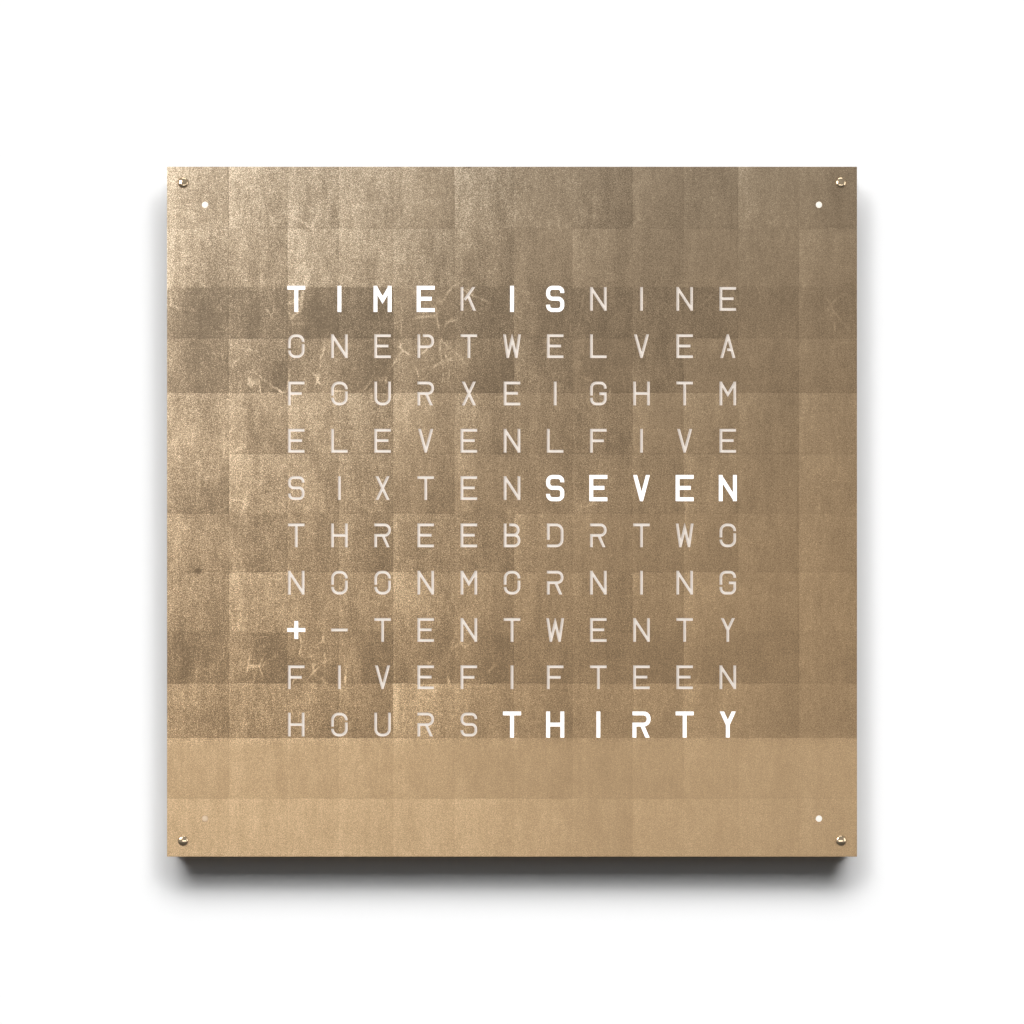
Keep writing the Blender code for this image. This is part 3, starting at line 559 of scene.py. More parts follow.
    def leaf_lines(self, sketch: Sketch, share: Feed) -> tuple[Socket, Socket]:
        """Finds the leaf at a place along one side.

        Args:
            sketch: The material's sketch.
            share: The place as a share of the side.

        Returns:
            The leaf's number and the place within the leaf, from 0 to 1.
        """
        count = len(self.seam_shares) - 1
        seams = [(place, index / count) for index, place in enumerate(self.seam_shares)]
        counted = sketch.times(sketch.curve(share, seams), count)
        return sketch.maths("FLOOR", counted), sketch.maths("FRACT", counted)

    def grid(self, sketch: Sketch, place: Socket) -> LeafGrid:
        """Finds the leaf at every place, its edges slightly torn.

        Args:
            sketch: The material's sketch.
            place: The place on the plate.

        Returns:
            The grid's values.
        """
        x, _, z = sketch.split(place)
        tear = sketch.times(sketch.step(self.tear.read(sketch, place), *self.torn_step), self.tear.shift)
        fine = sketch.swing(self.torn_fine.read(sketch, place), self.torn_fine.shift)
        coarse = sketch.swing(self.torn_coarse.read(sketch, place), self.torn_coarse.shift)
        torn = sketch.total(fine, sketch.times(coarse, tear))
        across = sketch.total(sketch.times(x, 1 / self.side), 0.5, torn)
        down = sketch.total(sketch.times(z, -1 / self.side), 0.5, torn)
        column, in_column = self.leaf_lines(sketch, across)
        row, in_row = self.leaf_lines(sketch, down)
        leaf = {"Vector": sketch.joined(column, row, 4.0)}
        chance = sketch.add("TexWhiteNoise", leaf, noise_dimensions="3D")
        return LeafGrid(across, down, row, in_column, in_row, *sketch.split(chance.outputs["Color"]))

    def course(self, sketch: Sketch, row: Socket) -> Socket:
        """Returns how much brighter or duller a course is: the dull ones from the leaf book that they were
        cut from, and the lowest ones brightened as painted light from below.
        """
        count = len(self.seam_shares) - 1
        shifts = [0.5] * count
        for index, shift in self.bright_courses:
            shifts[index] += shift
        for index, shift in self.dull_courses:
            shifts[index] -= shift
        points = [((index + 0.5) / count, shift) for index, shift in enumerate(shifts)]
        points = [(0.0, points[0][1]), *points, (1.0, points[-1][1])]
        middle = sketch.times(sketch.total(row, 0.5), 1 / count)
        return sketch.maths("SUBTRACT", sketch.curve(middle, points), 0.5)

    def areas(self, sketch: Sketch, grid: LeafGrid, course: Socket) -> LeafAreas:
        """Tells the areas of the plate: lively at the left, and calm in the two lowest courses.

        Args:
            sketch: The material's sketch.
            grid: The grid.
            course: The shift of the course.

        Returns:
            The areas.
        """
        uneven = sketch.total(grid.across, sketch.swing(grid.chance_rough, self.left_uneven))
        left = sketch.step(uneven, *self.left_step)
        lower = sketch.step(grid.down, *self.lower_step)
        above = sketch.rest(lower)
        lively = sketch.total(
            sketch.times(sketch.line(left, *self.lively_above), above),
            sketch.times(sketch.line(left, *self.lively_lower), lower),
        )
        off_middle_right = sketch.maths("ABSOLUTE", sketch.total(grid.across, -self.middle_right_place))
        return LeafAreas(
            left=left,
            top=sketch.step(grid.down, *self.top_step),
            middle_right=sketch.step(off_middle_right, *self.middle_right_step),
            lower=lower,
            above=above,
            calm=sketch.line(lower, *self.calm_lower),
            lively=lively,
            dull=sketch.step(course, *self.dull_step),
        )

    def bent(self, sketch: Sketch, place: Socket, scale: float, amount: float) -> Socket:
        """Returns the place pushed about by slow noise.

        Args:
            sketch: The material's sketch.
            place: The place.
            scale: The noise's patches per metre.
            amount: How far it pushes.

        Returns:
            The new place.
        """
        warp = sketch.add("TexNoise", {"Vector": place, "Scale": scale, "Detail": 4.0}).outputs[1]
        pushed = {0: warp, 1: (amount, amount, amount), 2: place}
        return sketch.add("VectorMath", pushed, operation="MULTIPLY_ADD").outputs[0]

    def creases(self, sketch: Sketch, place: Socket, scale: float, width: float, upright: float) -> Socket:
        """Draws thin forked creases, broken off here and there.

        Args:
            sketch: The material's sketch.
            place: Where they are read.
            scale: Their number per metre.
            width: Half their width.
            upright: Below 1, they run more upright.

        Returns:
            The creases, from 0 to 1.
        """
        drawn = sketch.stretched(place, (1.0, 1.0, upright))
        web = sketch.add("TexVoronoi", {"Vector": drawn, "Scale": scale}, feature="DISTANCE_TO_EDGE")
        line = sketch.step(web.outputs["Distance"], width * scale, width * scale * 0.25)
        return sketch.times(line, sketch.step(sketch.noise(place, scale * 1.6, 2), *self.broken_step))

    def gathered(self, sketch: Sketch, place: Socket, grid: LeafGrid, areas: LeafAreas) -> Socket:
        """Returns where creases gather: in dull courses, at the leaves' lower edges and at the left.

        Args:
            sketch: The material's sketch.
            place: The place on the plate.
            grid: The grid.
            areas: The areas.

        Returns:
            The share of the creases that shows.
        """
        here = sketch.step(self.creased.read(sketch, place), *self.creased_step)
        low_edge = sketch.times(sketch.step(grid.in_row, *self.low_edge_step), self.low_edge_gather)
        share = sketch.total(sketch.line(areas.dull, *self.gather_dull), low_edge)
        share = sketch.times(sketch.times(here, share), sketch.line(areas.left, *self.gather_left))
        return sketch.times(share, areas.above)

    def flecks(self, sketch: Sketch, place: Socket) -> Socket:
        """Returns the few small dark flecks, from 0 to 1."""
        cells = sketch.add("TexVoronoi", {"Vector": place, "Scale": self.fleck_cells})
        chosen = sketch.step(sketch.split(cells.outputs["Color"])[0], *self.chosen_step)
        return sketch.times(sketch.step(cells.outputs["Distance"], *self.fleck_step), chosen)

    def fall(self, sketch: Sketch, grid: LeafGrid, areas: LeafAreas) -> Socket:
        """Returns how each leaf darkens away from the laps at its left and its top.

        Args:
            sketch: The material's sketch.
            grid: The grid.
            areas: The areas.

        Returns:
            The shift in tone.
        """
        rest = sketch.rest(grid.in_column)
        across = sketch.times(sketch.maths("SUBTRACT", sketch.times(rest, rest), 0.33), self.fall_across)
        down = sketch.times(sketch.maths("SUBTRACT", 0.5, grid.in_row), self.fall_down)
        chance = sketch.line(grid.chance_fall, *self.fall_chance)
        depth = sketch.times(chance, sketch.line(areas.left, *self.fall_left))
        fall = sketch.times(sketch.total(across, down), depth)
        return sketch.times(fall, sketch.line(areas.above, *self.fall_above))

    def seam(self, sketch: Sketch, within: Socket) -> Socket:
        """Returns the thin line where one leaf ends, from the place within the leaf."""
        return sketch.step(within, *self.seam_step)

    def large_tone(self, sketch: Sketch, grid: LeafGrid, areas: LeafAreas, course: Socket) -> Socket:
        """Returns the tone of whole leaves and areas.

        Args:
            sketch: The material's sketch.
            grid: The grid.
            areas: The areas.
            course: The shift of the course.

        Returns:
            The tone, mostly between 0 and 1.
        """
        chance = sketch.swing(grid.chance_tone, self.chance_shift)
        right = sketch.rest(areas.left)
        middle_right = sketch.line(areas.top, self.middle_right_shift, self.top_right_shift)
        return sketch.total(
            self.even_share,
            sketch.times(course, sketch.line(areas.left, *self.course_depth)),
            sketch.times(chance, sketch.times(areas.lively, areas.calm)),
            self.fall(sketch, grid, areas),
            # painted light from below at the lower right
            sketch.times(sketch.times(areas.lower, right), self.low_light_shift),
            sketch.times(areas.middle_right, middle_right),
            # painted highlight at the top left
            sketch.times(sketch.times(areas.top, areas.left), self.top_left_highlight),
        )

    def material(self) -> bpy.types.Material:
        """Makes the material.

        Returns:
            The leaf material.
        """
        material, sketch = new_material("varnished_leaf")
        place = sketch.place()
        grid = self.grid(sketch, place)
        course = self.course(sketch, grid.row)
        areas = self.areas(sketch, grid, course)
        bent = self.bent(sketch, place, *self.bend)
        swayed = self.bent(sketch, place, *self.sway)
        x, _, z = sketch.split(swayed)

        grain = self.grain.read(sketch, place)
        cloud = self.cloud.read(sketch, bent)
        streak = self.streak.read(sketch, place)
        dull_cloud = sketch.line(areas.dull, *self.cloud_depth)
        marks = sketch.total(
            sketch.swing(grain, self.grain.shift),
            sketch.swing(self.coarse.read(sketch, place), self.coarse.shift),
            sketch.times(sketch.swing(cloud, self.cloud.shift), dull_cloud),
            sketch.swing(self.patch.read(sketch, bent), self.patch.shift),
            sketch.swing(streak, self.streak.shift),
            sketch.swing(self.band.read(sketch, sketch.joined(x, grid.row, z)), self.band.shift),
            sketch.swing(self.smear.read(sketch, place), self.smear.shift),
            # painted glint along the wisps
            sketch.times(self.creases(sketch, swayed, *self.wisps), self.wisp_glint_shift),
        )
        veins = sketch.maths("MAXIMUM", *(self.creases(sketch, swayed, *vein) for vein in self.veins))
        crease = sketch.times(veins, self.gathered(sketch, place, grid, areas))
        seams = (self.seam(sketch, grid.in_column), self.seam(sketch, grid.in_row))
        seam = sketch.times(sketch.maths("MAXIMUM", *seams), areas.lively)
        tone = sketch.total(
            self.large_tone(sketch, grid, areas, course),
            sketch.times(marks, areas.lively),
            # painted glint along the creases
            sketch.times(crease, self.crease_glint_shift),
            sketch.times(seam, self.seam_shift),
            sketch.times(self.flecks(sketch, bent), self.fleck_shift),
        )

        slope = sketch.total(
            sketch.times(grid.across, self.slope_across), sketch.times(grid.down, self.slope_down)
        )
        cool = sketch.ramp(tone, self.tones)
        warm = sketch.mix(1.0, cool, self.warmth, "MULTIPLY")
        rough = sketch.total(
            self.roughness,
            sketch.swing(grid.chance_rough, self.chance_rough),
            sketch.times(sketch.swing(cloud, self.cloud_rough), areas.calm),
            sketch.times(sketch.swing(grain, self.grain_rough), areas.lively),
        )
        height = sketch.total(
            sketch.times(grain, self.grain_relief),
            sketch.times(streak, self.streak_relief),
            sketch.times(crease, self.crease_relief),
        )
        close_material(
            sketch,
            {
                # painted light: warmer downwards, where the varnish's sheen fades
                "Base Color": sketch.mix(sketch.step(slope, *self.painted_sheen_step), cool, warm),
                "Metallic": self.metallic,
                "Roughness": rough,
                "Coat Weight": self.coat,
                "Coat Roughness": self.coat_rough,
                "Normal": sketch.bump(height, self.relief, self.relief_shown),
            },
        )
        return material


@dataclass(frozen=True)
class MetalFinish:
    """A bare metal: turned, rolled, plated or cut."""

    name: str
    colour: Colour
    worn: Colour
    roughness: float
    grain_scale: float = 900.0
    smudge_scale: float = 60.0
    relief: float = 0.00001
    smudge_share: float = 0.7
    grain_share: float = 0.18
    smudge_rough: float = 0.07
    brush_rough: float = 0.05

    def material(self, effects: SharedEffects) -> bpy.types.Material:
        """Makes the material.

        Args:
            effects: The shared node groups.

        Returns:
            The metal material.
        """
        material, sketch = new_material(self.name)
        grain = effects.use(sketch, effects.grain, {"Scale": self.grain_scale})
        smudge = effects.use(sketch, effects.smudges, {"Scale": self.smudge_scale}).outputs["Mask"]
        brushed = sketch.noise(sketch.place(), self.grain_scale, 2)
        colour = sketch.mix(sketch.times(smudge, self.smudge_share), self.colour, self.worn)
        colour = sketch.mix(sketch.times(grain.outputs["Mask"], self.grain_share), colour, self.worn)
        rough = sketch.total(
            self.roughness, sketch.times(smudge, self.smudge_rough), sketch.swing(brushed, self.brush_rough)
        )
        height = sketch.total(sketch.times(grain.outputs["Height"], 0.5), sketch.times(brushed, 0.5))
        close_material(
            sketch,
            {
                "Base Color": colour,
                "Metallic": 1.0,
                "Roughness": rough,
                "Normal": sketch.bump(height, self.relief),
            },
        )
        return material


@dataclass(frozen=True)
class MouldedFinish:
    """A plastic, rubber or lacquer with a fine grain and slightly uneven colour."""

    name: str
    colour: Colour
    second: Colour
    roughness: float
    grain_scale: float = 900.0
    smudge_scale: float = 14.0
    relief: float = 0.00002
    coat: float = 0.0
    coat_rough: float = 0.42
    grain_share: float = 0.35
    smudge_rough: float = 0.08
    grain_rough: float = 0.05

    def material(self, effects: SharedEffects) -> bpy.types.Material:
        """Makes the material.

        Args:
            effects: The shared node groups.

        Returns:
            The moulded material.
        """
        material, sketch = new_material(self.name)
        grain = effects.use(sketch, effects.grain, {"Scale": self.grain_scale}).outputs
        smudge = effects.use(sketch, effects.smudges, {"Scale": self.smudge_scale}).outputs["Mask"]
        colour = sketch.mix(smudge, self.colour, self.second)
        colour = sketch.mix(sketch.times(grain["Mask"], self.grain_share), colour, self.second)
        grained = sketch.times(grain["Mask"], self.grain_rough)
        rough = sketch.total(self.roughness, sketch.times(smudge, self.smudge_rough), grained)
        close_material(
            sketch,
            {
                "Base Color": colour,
                "Roughness": rough,
                "Coat Weight": self.coat,
                "Coat Roughness": self.coat_rough,
                "Normal": sketch.bump(grain["Height"], self.relief),
            },
        )
        return material


@dataclass(frozen=True)
class GlowFinish:
    """Opal plastic with a lamp behind it, lit or not. Unlit, its faint glow is painted light, though its lamp
    is off.
    """

    name: str
    body: Colour
    light: Colour
    cloudy: Colour
    strength: float
    grain_scale: float = 700.0
    cloud_scale: float = 30.0
    cloud_share: float = 0.5
    grain_share: float = 0.3
    roughness: float = 0.5
    grain_rough: float = 0.1
    relief: float = 0.00001

    def material(self, effects: SharedEffects) -> bpy.types.Material:
        """Makes the material.

        Args:
            effects: The shared node groups.

        Returns:
            The glowing material.
        """
        material, sketch = new_material(self.name)
        grain = effects.use(sketch, effects.grain, {"Scale": self.grain_scale}).outputs
        cloud = effects.use(sketch, effects.smudges, {"Scale": self.cloud_scale}).outputs["Mask"]
        light = sketch.mix(sketch.times(cloud, self.cloud_share), self.light, self.cloudy)
        close_material(
            sketch,
            {
                "Base Color": sketch.mix(sketch.times(grain["Mask"], self.grain_share), self.body, light),
                "Roughness": sketch.line(grain["Mask"], self.roughness, self.grain_rough),
                "Emission Color": light,
                "Emission Strength": self.strength,
                "Normal": sketch.bump(grain["Height"], self.relief),
            },
        )
        return material


@dataclass(frozen=True)
class BoardFinish:
    """A printed circuit board with its tracks, and what stands on it, told apart by how far it stands out."""

    name: str
    resist: Colour
    track: Colour
    part_colour: Colour
    part_second: Colour
    outwards: int
    track_scale: float = 130.0
    thickness: float = 0.0016
    track_step: Point = (0.12, 0.08)
    pad_step: Point = (0.10, 0.07)
    part_step: Point = (0.0001, 0.00025)
    grain_scale: float = 1200.0
    roughness: float = 0.38
    part_rough: float = 0.15
    grain_rough: float = 0.05
    relief: float = 0.00003

    def face(self, low: Vector, high: Vector) -> float:
        """Returns Y of the board's own face, under the parts on it, from the corners of board and parts."""
        return low.y + self.thickness if self.outwards > 0 else high.y - self.thickness

    def material(self, effects: SharedEffects, face_y: float) -> bpy.types.Material:
        """Makes the material.

        Args:
            effects: The shared node groups.
            face_y: Y of the board's own face.

        Returns:
            The board material.
        """
        material, sketch = new_material(self.name)
        x, y, z = sketch.split(sketch.place())
        feeds = {"Vector": sketch.joined(x, z), "Scale": self.track_scale, "Randomness": 0.75}
        settings = {"distance": "CHEBYCHEV", "voronoi_dimensions": "2D"}
        near = sketch.add("TexVoronoi", feeds, feature="F1", **settings).outputs["Distance"]
        far = sketch.add("TexVoronoi", feeds, feature="F2", **settings).outputs["Distance"]
        track = sketch.step(sketch.maths("SUBTRACT", far, near), *self.track_step)
        pad = sketch.step(near, *self.pad_step)
        grain = effects.use(sketch, effects.grain, {"Scale": self.grain_scale}).outputs
        proud = sketch.times(sketch.maths("SUBTRACT", y, face_y), self.outwards)
        part = sketch.step(proud, *self.part_step)
        board = sketch.mix(sketch.maths("MAXIMUM", track, pad), self.resist, self.track)
        body = sketch.mix(grain["Mask"], self.part_colour, self.part_second)
        grained = sketch.times(grain["Mask"], self.grain_rough)
        close_material(
            sketch,
            {
                "Base Color": sketch.mix(part, board, body),
                "Roughness": sketch.total(self.roughness, sketch.times(part, self.part_rough), grained),
                "Normal": sketch.bump(sketch.total(track, grain["Height"]), self.relief),
            },
        )
        return material


@dataclass(frozen=True)
class StripedFinish:
    """Cable insulation or a winding, striped along one direction, its grooves painted darker as painted
    shade.
    """

    name: str
    colour: Colour
    groove: Colour
    pitch: float
    direction: str
    metallic: float
    roughness: float
    ridge_step: Point = (0.1, 0.6)
    grain_scale: float = 1500.0
    grain_share: float = 0.2
    grain_rough: float = 0.08

    def material(self, effects: SharedEffects) -> bpy.types.Material:
        """Makes the material.

        Args:
            effects: The shared node groups.

        Returns:
            The striped material.
        """
        material, sketch = new_material(self.name)
        along = sketch.split(sketch.place())["XYZ".index(self.direction)]
        wave = sketch.maths("FRACT", sketch.times(along, 1 / self.pitch))
        ridge = sketch.maths("SINE", sketch.times(wave, math.pi))
        grain = effects.use(sketch, effects.grain, {"Scale": self.grain_scale}).outputs["Mask"]
        # painted shade: the grooves between ridges are darker in colour
        colour = sketch.mix(sketch.step(ridge, *self.ridge_step), self.groove, self.colour)
        colour = sketch.mix(sketch.times(grain, self.grain_share), colour, self.groove)
        close_material(
            sketch,
            {
                "Base Color": colour,
                "Metallic": self.metallic,
                "Roughness": sketch.line(grain, self.roughness, self.grain_rough),
                "Normal": sketch.bump(ridge, self.pitch / 3),
            },
        )
        return material


# The bench on which new pieces are shaped

class Workpiece:
    """A mesh that is shaped with operators and then finished as an object at the origin."""

    def __init__(self, source: bpy.types.Mesh | None = None) -> None:
        """Starts an empty mesh, or a copy of one."""
        self.mesh = bmesh.new()
        if source:
            self.mesh.from_mesh(source)

    def block(self, low: Sequence[float], high: Sequence[float]) -> list[bmesh.types.BMVert]:
        """Adds a block.

        Args:
            low: Its lowest corner.
            high: Its highest corner.

        Returns:
            Its vertices.
        """
        size = [top - bottom for bottom, top in zip(low, high)]
        middle = [(top + bottom) / 2 for bottom, top in zip(low, high)]
        matrix = Matrix.Translation(middle) @ Matrix.Diagonal((*size, 1))
        return bmesh.ops.create_cube(self.mesh, size=1, matrix=matrix)["verts"]

    def rod(self, middle: Sequence[float], radii: Point, length: float, turn: Matrix, steps: int) -> None:
        """Adds a capped rod or cone.

        Args:
            middle: The middle of its axis.
            radii: Its two end radii.
            length: Its length.
            turn: The rotation that lays its axis, which is Z at first.
            steps: Its faces around.
        """
        matrix = Matrix.Translation(middle) @ turn
        bmesh.ops.create_cone(
            self.mesh,
            cap_ends=True,
            segments=steps,
            radius1=radii[0],
            radius2=radii[1],
            depth=length,
            matrix=matrix,
        )

    def turn(self, profile: Sequence[Point], steps: int) -> None:
        """Turns a profile about Z into a closed shape.

        Args:
            profile: Radius and height of each point, from one end of the axis to the other.
            steps: The faces around.
        """
        points = [self.mesh.verts.new((radius, 0, height)) for radius, height in profile]
        edges = [self.mesh.edges.new(pair) for pair in zip(points, points[1:])]
        bmesh.ops.spin(
            self.mesh,
            geom=[*points, *edges],
            cent=(0, 0, 0),
            axis=(0, 0, 1),
            angle=FULL_TURN,
            steps=steps,
            use_merge=True,
            use_duplicate=False,
        )
        bmesh.ops.remove_doubles(self.mesh, verts=self.mesh.verts[:], dist=MERGE)
        bmesh.ops.recalc_face_normals(self.mesh, faces=self.mesh.faces[:])

    def soften(self, edges: Sequence[bmesh.types.BMEdge], width: float, segments: int) -> None:
        """Rounds edges.

        Args:
            edges: The edges to round.
            width: How far in the rounding starts.
            segments: Its faces across.
        """
        bmesh.ops.bevel(
            self.mesh,
            geom=list(edges),
            offset=width,
            segments=segments,
            profile=0.5,
            affect="EDGES",
            material=-1,
        )

    def edges_along(self, axis: int) -> list[bmesh.types.BMEdge]:
        """Returns the edges that run along one axis."""
        found = []
        for edge in self.mesh.edges:
            run = edge.verts[1].co - edge.verts[0].co
            if abs(run[axis]) > 0.999 * run.length:
                found.append(edge)
        return found

    def move(self, matrix: Matrix) -> None:
        """Moves the whole mesh by a matrix."""
        bmesh.ops.transform(self.mesh, matrix=matrix, verts=self.mesh.verts[:])

    def to_mesh(self, name: str) -> bpy.types.Mesh:
        """Ends the work and returns it as a mesh."""
        mesh = bpy.data.meshes.new(name)
        self.mesh.to_mesh(mesh)
        self.mesh.free()
        return mesh


def vertices_of(made: Iterable[object]) -> list[bmesh.types.BMVert]:
    """Returns the vertices among what an operator made."""
    return [item for item in made if isinstance(item, bmesh.types.BMVert)]


def place_piece(
    name: str, mesh: bpy.types.Mesh, finishes: Sequence[bpy.types.Material], smooth: float = SMOOTH_ANGLE
) -> bpy.types.Object:
    """Makes a piece of the scene from a finished mesh.

    Args:
        name: The piece's name.
        mesh: Its mesh, already in place.
        finishes: The materials of its slots, or none where the mesh has its slots already.
        smooth: The angle up to which neighbouring faces are shaded as one surface.

    Returns:
        The object.
    """
    piece = bpy.data.objects.new(name, mesh)
    bpy.context.scene.collection.objects.link(piece)
    for finish in finishes:
        mesh.materials.append(finish)
    mesh.shade_smooth()
    mesh.set_sharp_from_angle(angle=smooth)
    LOG.info("%s: %d faces", name, len(mesh.polygons))
    return piece


def settle(
    piece: bpy.types.Object, slot: str, body: str = "clock", replaces: Sequence[str] = ()
) -> bpy.types.Object:
    """Hides the nodes that a piece stands for and hangs the piece on its body.

    Args:
        piece: The finished piece.
        slot: The record's material slot; not used.
        body: The body that it rides on.
        replaces: The nodes that it stands for.

    Returns:
        The piece.
    """
    if replaces:
        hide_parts(*replaces)
    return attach(piece, body)


def through_modifiers(thing: bpy.types.Object) -> bpy.types.Mesh:
    """Returns an object's mesh with its modifiers applied, and deletes the object."""
    graph = bpy.context.evaluated_depsgraph_get()
    mesh = bpy.data.meshes.new_from_object(thing.evaluated_get(graph))
    bpy.data.objects.remove(thing)
    return mesh


def combined(base: bpy.types.Mesh, others: Sequence[bpy.types.Mesh], operation: str) -> bpy.types.Mesh:
    """Joins meshes to one, or cuts them from it.

    Args:
        base: The mesh that is worked on.
        others: The meshes that are added or cut away.
        operation: UNION or DIFFERENCE.

    Returns:
        The new mesh, which keeps the material of each face.
    """
    scene = bpy.context.scene.collection
    thing = bpy.data.objects.new("on_bench", base)
    scene.objects.link(thing)
    helpers = []
    for mesh in others:
        helper = bpy.data.objects.new("tool", mesh)
        scene.objects.link(helper)
        helpers.append(helper)
        step = thing.modifiers.new("step", "BOOLEAN")
        step.operation = operation
        step.object = helper
        step.solver = "EXACT"
        step.material_mode = "TRANSFER"
    bpy.context.view_layer.update()
    result = through_modifiers(thing)
    for helper in helpers:
        bpy.data.objects.remove(helper)
    return result


# The letters

OUT = 2.0
PAST = 1.4


@dataclass(frozen=True)
class Stroke:
    """One pass of the letter cutter.

    Its points are shares of a letter's half width and half height, measured to the middle of the stroke.
    A share of OUT means the letter's own outer edge, and one of PAST runs beyond it to be trimmed.
    """

    points: tuple[Point, ...]
    rounding_share: float = 0.0


BOWL = 0.70
WIDE_BOWL = 0.86
STEM = Stroke(((-1, -OUT), (-1, OUT)))
FAR_STEM = Stroke(((1, -OUT), (1, OUT)))
RING = (
    Stroke(((-1, -0.20), (-1, 1), (1, 1), (1, 0.40)), WIDE_BOWL),
    Stroke(((1, 0.20), (1, -1), (-1, -1), (-1, -0.40)), WIDE_BOWL),
)
LETTERS: dict[str, tuple[Stroke, ...]] = {
    "A": (Stroke(((-1, -PAST), (0, 1), (1, -PAST))), Stroke(((-0.12, -0.34), (0.55, -0.34)))),
    "B": (
        STEM,
        Stroke(((-0.42, 1), (0.9, 1), (0.9, 0.03), (-OUT, 0.03)), BOWL),
        Stroke(((0.1, 0.03), (1, 0.03), (1, -1), (-OUT, -1)), BOWL),
    ),
    "D": (Stroke(((-1, OUT), (-1, -0.42))), Stroke(((-OUT, 1), (1, 1), (1, -1), (-OUT, -1)), WIDE_BOWL)),
    "E": (
        STEM,
        Stroke(((-OUT, 1), (OUT, 1))),
        Stroke(((-1, 0.02), (0.85, 0.02))),
        Stroke(((-OUT, -1), (OUT, -1))),
    ),
    "F": (STEM, Stroke(((-OUT, 1), (OUT, 1))), Stroke(((-1, 0), (0.8, 0)))),
    "G": (
        Stroke(((1, 0.45), (1, 1), (-1, 1), (-1, -0.20)), BOWL),
        Stroke(((-1, -0.40), (-1, -1), (1, -1), (1, -0.10)), BOWL),
        Stroke(((0.15, -0.02), (OUT, -0.02))),
    ),
    "H": (STEM, FAR_STEM, Stroke(((-1, 0), (1, 0)))),
    "I": (Stroke(((0, -OUT), (0, OUT))),),
    "K": (STEM, Stroke(((-0.62, -0.10), (1, PAST))), Stroke(((-0.1, 0.28), (1, -PAST)))),
    "L": (STEM, Stroke(((-OUT, -1), (OUT, -1)))),
    "M": (STEM, FAR_STEM, Stroke(((-1, 1), (0, -0.1), (1, 1)))),
    "N": (STEM, FAR_STEM, Stroke(((-1, 1), (1, -1)))),
    "O": RING,
    "P": (STEM, Stroke(((-0.42, 1), (1, 1), (1, -0.06), (-OUT, -0.06)), BOWL)),
    "R": (
        Stroke(((-OUT, 1), (1, 1), (1, 0), (-OUT, 0)), BOWL),
        Stroke(((-1, 0), (-1, -OUT))),
        Stroke(((0.05, 0), (1, -PAST))),
    ),
    "S": (
        Stroke(((1, 0.52), (1, 1), (-1, 1), (-1, 0.02), (1, 0.02), (1, -1), (-1, -1), (-1, -0.52)), 0.62),
    ),
    "T": (Stroke(((-OUT, 1), (OUT, 1))), Stroke(((0, 1), (0, -OUT)))),
    "U": (Stroke(((-1, OUT), (-1, -1), (1, -1), (1, OUT)), WIDE_BOWL),),
    "V": (Stroke(((-1, PAST), (0, -1), (1, PAST))),),
    "W": (Stroke(((-1.15, PAST), (-0.62, -1), (0, 0.7), (0.62, -1), (1.15, PAST))),),
    "X": (Stroke(((-1, -PAST), (1, PAST))), Stroke(((1, -PAST), (-1, PAST)))),
    "Y": (Stroke(((-1, PAST), (0, 0), (1, PAST))), Stroke(((0, 0), (0, -OUT)))),
    "+": (Stroke(((-OUT, 0), (OUT, 0))), Stroke(((0, -0.80), (0, 0.80)))),
    "-": (Stroke(((-OUT, 0), (OUT, 0))),),
}


@dataclass(frozen=True)
class LetterCut:
    """The size of one kind of letter: unlit letters are cut slim, lit ones bolder."""

    height: float
    width: float
    stroke: float
    depth: float = 0.006
    curve_steps: int = 7

    def reach(self, share: float, size: float) -> float:
        """Turns a share into a length from the letter's middle.

        Args:
            share: The share of the half size.
            size: The letter's whole size in that direction.

        Returns:
            The length.
        """
        inner = (size - self.stroke) / 2
        if abs(share) == OUT:
            return math.copysign(size / 2, share)
        return share * inner

    def stroke_mesh(self, stroke: Stroke) -> bpy.types.Mesh:
        """Makes one stroke as a closed slab.

        Args:
            stroke: The stroke.

        Returns:
            Its mesh, around the letter's middle.
        """
        work = Workpiece()
        bm = work.mesh
        points = [
            bm.verts.new((self.reach(x, self.width), -self.depth / 2, self.reach(z, self.height)))
            for x, z in stroke.points
        ]
        edges = [bm.edges.new(pair) for pair in zip(points, points[1:])]
        made = bmesh.ops.extrude_edge_only(bm, edges=edges)["geom"]
        bmesh.ops.translate(bm, verts=vertices_of(made), vec=(0, self.depth, 0))
        if stroke.rounding_share:
            corners = [edge for edge in work.edges_along(1) if len(edge.link_faces) == 2]
            radius = stroke.rounding_share * (self.width - self.stroke) / 2
            work.soften(corners, radius, self.curve_steps)
        band = bpy.data.objects.new("band", work.to_mesh("band"))
        bpy.context.scene.collection.objects.link(band)
        thick = band.modifiers.new("thick", "SOLIDIFY")
        thick.thickness = self.stroke
        thick.offset = 0
        thick.use_even_offset = True
        bpy.context.view_layer.update()
        return through_modifiers(band)

    def letter(self, character: str) -> bpy.types.Mesh:
        """Makes one letter as a closed cutter.

        Args:
            character: The letter.

        Returns:
            Its mesh, around the letter's middle.
        """
        meshes = [self.stroke_mesh(stroke) for stroke in LETTERS[character]]
        work = Workpiece(combined(meshes[0], meshes[1:], "UNION") if meshes[1:] else meshes[0])
        bm = work.mesh
        for side in (-1, 1):
            cut = bmesh.ops.bisect_plane(
                bm,
                geom=[*bm.verts, *bm.edges, *bm.faces],
                plane_co=(0, 0, side * self.height / 2),
                plane_no=(0, 0, side),
                clear_outer=True,
            )["geom_cut"]
            rim = [item for item in cut if isinstance(item, bmesh.types.BMEdge)]
            bmesh.ops.holes_fill(bm, edges=rim)
        bmesh.ops.recalc_face_normals(bm, faces=bm.faces[:])
        return work.to_mesh(f"letter_{character}")


